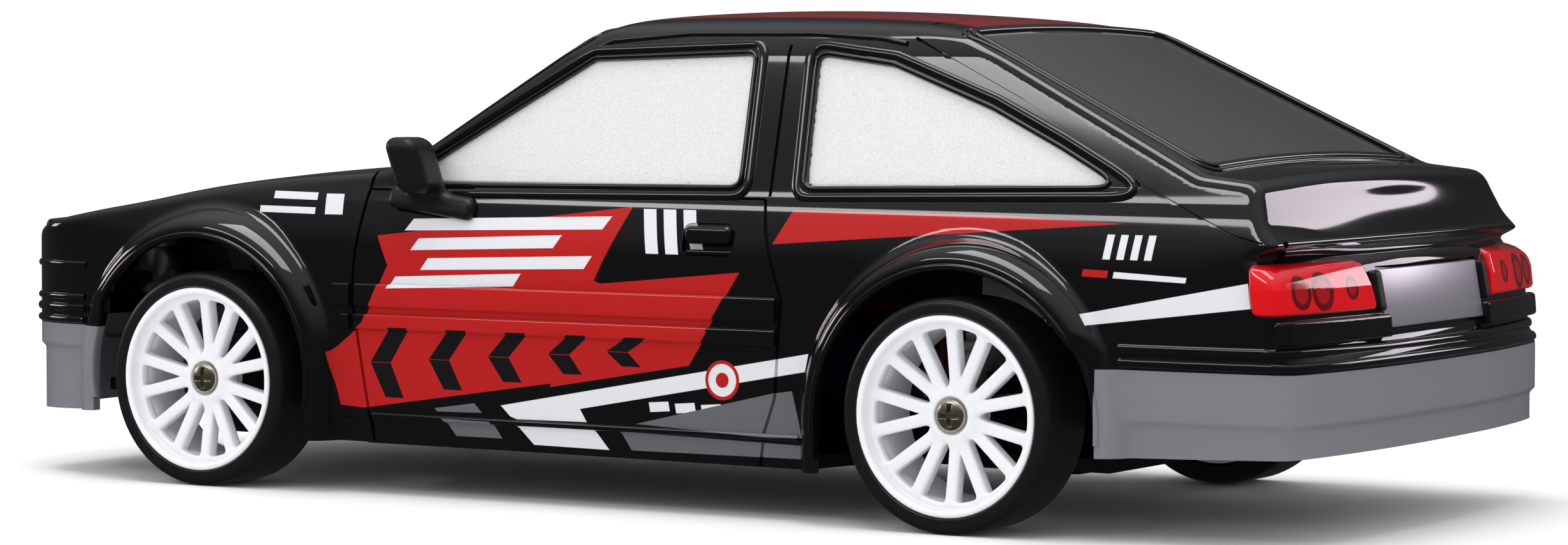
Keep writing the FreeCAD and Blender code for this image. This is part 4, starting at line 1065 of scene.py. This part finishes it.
def rim_field(a, y, b):
    """Face of a wheel about its own axle; y is measured from the tyre's outer face."""
    r = np.hypot(a, b)
    lip = soft_max(np.abs(r - 10.32) - 0.38, np.abs(y + 0.75) - 0.75, 0.35)
    ledge = soft_max(np.abs(r - 9.75) - 0.55, np.abs(y + 2.0) - 0.75, 0.35)
    sector = 4 * math.pi / SPOKES
    turn = np.mod(np.arctan2(b, a) + sector / 2, sector) - sector / 2
    along, across = r * np.cos(turn), np.abs(r * np.sin(turn))
    spoke_line = HUB_LINE + (along - 3.5) * (RIM_LINE - HUB_LINE) / 6.4
    top = -2.0 + 0.75 * np.clip((r - 3.0) / 6.6, 0, 1)
    bar = np.hypot(np.maximum(np.abs(across - spoke_line) * 0.968 - (SPOKE_HALF - 0.35), 0),
                   np.maximum(np.abs(y - top + 0.9) - 0.55, 0)) - 0.35
    bar = np.maximum(bar, np.maximum(r - 10.1, 2.0 - along))
    f = soft_min(soft_min(lip, ledge, 0.25), bar, 0.45)
    hub = np.maximum(soft_max(r - 2.9, y + 1.75 + 0.05 * r ** 2 - 0.35, 0.7), -(y + 5.2))
    seat = soft_max(r - 2.0, -(y + 2.2), 0.2)
    return soft_max(soft_min(f, hub, 1.0), -seat, 0.2)


def screw_field(a, y, b):
    """Pan head with a cross recess, about the wheel's axle."""
    r = np.hypot(a, b)
    head = np.maximum(soft_max(r - 1.75, y + 1.05 + 0.13 * r ** 2, 0.35), -(y + 2.3))
    wide, tall = np.abs(a), np.abs(b)
    cross = np.minimum(np.maximum(wide - 0.26, tall - 1.15), np.maximum(tall - 0.26, wide - 1.15))
    return soft_max(head, -np.maximum(cross, -(y + 1.9)), 0.12)


def make_wheel(end, side, body_name):
    which = end + "_" + side
    hub = middle("rim_" + which)
    sign = 1 if hub.y > 0 else -1
    u = hub.x - rear_hub.x
    low, high = (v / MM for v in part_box("tyre_" + which))
    inner, face = sorted((abs(low.y), abs(high.y)))

    def about(field):
        """A wheel's own field carried to this wheel."""
        return lambda x, y, z: field(x - u, sign * y - face, z - hub.z)

    def reach(radius, back, front):
        """Corners of the space for a field, from back of the tyre's face to front of it."""
        y = sorted((sign * (face - back), sign * (face + front)))
        return (u - radius, y[0], hub.z - radius), (u + radius, y[1], hub.z + radius)

    points, faces = skin(about(rim_field), *reach(11.2, 5.6, 0.4), 0.17)
    points, triangles = arrays(modified(mesh_of("rim", points, faces), "DECIMATE", ratio=0.35))
    barrel = lathe([(9.3, face - 2.0), (9.1, inner + 0.2), (10.0, inner + 0.2), (10.0, face - 1.2)], sign,
                   u, hub.z)
    whole = joined([(points, [tuple(t) for t in triangles]), barrel])
    piece("rim_" + which, whole, "wheel_white", [wheel_white], body_name, ("rim_" + which,), sharp=60.0)
    tread = high.z - hub.z
    turn = np.linspace(0, math.pi / 2, 6)
    outer = [(tread - 0.9 + 0.9 * math.cos(a), face - 0.9 + 0.9 * math.sin(a)) for a in turn]
    back = [(r, inner + face - w) for r, w in outer[::-1]]
    profile = [(10.3, inner), *back, *outer, (10.9, face - 0.05), (10.6, face - 0.35), (10.3, face - 1.0)]
    piece("tyre_" + which, lathe(profile, sign, u, hub.z, 96), "tyre", [tyre_black], body_name,
          ("tyre_" + which,))
    solid("wheel_screw_" + which, about(screw_field), *reach(2.1, 2.7, -0.4), 0.09, slot="screw_steel",
          materials=[screw_metal], body_name=body_name, nodes=("wheel_screw_" + which,))


for wheel_side in ("left", "right"):
    make_wheel("rear", wheel_side, "rear_axle")
    make_wheel("front", wheel_side, "wheel_" + wheel_side)


# ---- Chassis pieces kept from the frame ----
for subpart in frame["record"]["subparts"]:
    surface = KEPT.get(subpart["material_slot"])
    if surface:
        holder = frame["nodes"][subpart["node"]]
        holder.data.materials.clear()
        holder.data.materials.append(surface)


# ---- Studio ----
BACKDROP = 1.0                 # brightness of the paper, near and far


def make_floor():
    """White paper under the car that fades into an even white backdrop."""
    size = 0.75
    corners = np.array([(-size, -size, 0), (size, -size, 0), (size, size, 0), (-size, size, 0)])
    mesh = loose_mesh("floor", (corners, [(0, 1, 2, 3)]))
    paper = material("floor_paper", (0.90, 0.90, 0.90), 0.6, spread=0.01, scale=30.0, sheen=0.2)
    nodes = Nodes(paper)
    where = nodes.add("ShaderNodeTexCoord").outputs["Object"]
    length = nodes.add("ShaderNodeVectorMath", {0: where}, operation="LENGTH").outputs["Value"]
    fade = nodes.add("ShaderNodeMapRange", {"Value": length, "From Min": 0.10, "From Max": 0.42},
                     interpolation_type="SMOOTHSTEP")
    glow = nodes.add("ShaderNodeEmission", {"Strength": BACKDROP})
    sheet = nodes.tree.nodes["Principled BSDF"]
    nodes.end(fade.outputs[0], sheet.outputs[0], glow.outputs[0], "Material Output")
    mesh.materials.append(paper)
    floor = new_object("floor", mesh)
    floor.visible_glossy = False


def soft_light(name, where, aim, size, watts, colour=(1.0, 1.0, 1.0)):
    light = bpy.data.lights.new(name, "AREA")
    light.shape = "RECTANGLE"
    light.size, light.size_y = size
    light.energy = watts
    light.color = colour
    lamp = new_object(name, light)
    lamp.location = where
    lamp.rotation_euler = (Vector(aim) - Vector(where)).to_track_quat("-Z", "Y").to_euler()


def make_world():
    """Even white seen directly and on matt surfaces, and a dim room with a lighter ceiling in gloss."""
    world = bpy.data.worlds.new("studio")
    bpy.context.scene.world = world
    nodes = Nodes(world)
    white = nodes.tree.nodes["Background"]
    nodes.feed(white, {"Color": (1, 1, 1, 1), "Strength": BACKDROP})
    height = nodes.split(nodes.add("ShaderNodeTexCoord").outputs["Generated"])["Z"]
    levels = {"Value": height, "From Min": 0.25, "From Max": 0.95, "To Min": 0.05, "To Max": 0.55}
    ceiling = nodes.add("ShaderNodeMapRange", levels, interpolation_type="SMOOTHSTEP")
    room = nodes.add("ShaderNodeBackground", {"Color": (0.94, 0.95, 1.0, 1), "Strength": ceiling.outputs[0]})
    glossy = nodes.add("ShaderNodeLightPath").outputs["Is Glossy Ray"]
    nodes.end(glossy, white.outputs[0], room.outputs[0], "World Output")


def make_camera():
    yaw, pitch, roll = 0.5491, 0.0435, 0.0015
    ahead = Vector((math.sin(yaw) * math.cos(pitch), -math.cos(yaw) * math.cos(pitch), -math.sin(pitch)))
    side = ahead.cross(Vector((0, 0, 1))).normalized()
    top = side.cross(ahead)
    turned_side = side * math.cos(roll) + top * math.sin(roll)
    turned_top = top * math.cos(roll) - side * math.sin(roll)
    data = bpy.data.cameras.new("camera")
    data.sensor_fit = "HORIZONTAL"
    data.sensor_width = 36.0
    data.lens = 101.3
    data.shift_x, data.shift_y = 0.0036, -0.0173
    data.clip_start = 0.01
    camera = new_object("camera", data)
    camera.location = (-0.2722, 0.43985, 0.05058)
    camera.rotation_euler = Matrix((turned_side, turned_top, -ahead)).transposed().to_euler()
    bpy.context.scene.camera = camera


make_floor()
soft_light("overhead", (0.05, 0.10, 1.0), (0, 0, 0), (0.9, 0.4), 5.0)
soft_light("left_box", (0.45, 0.95, 0.85), (0, 0, 0.04), (0.80, 0.12), 1.9)
soft_light("lid_box", (-0.60, -0.95, 0.34), (-0.08, 0, 0.04), (0.40, 0.26), 1.25, (1.0, 0.90, 0.98))
soft_light("nose_box", (1.10, 0.26, 0.32), (0.06, 0.03, 0.03), (0.34, 0.22), 1.3, (1.0, 0.90, 0.98))
make_world()
make_camera()
bpy.context.scene.view_settings.view_transform = "Standard"
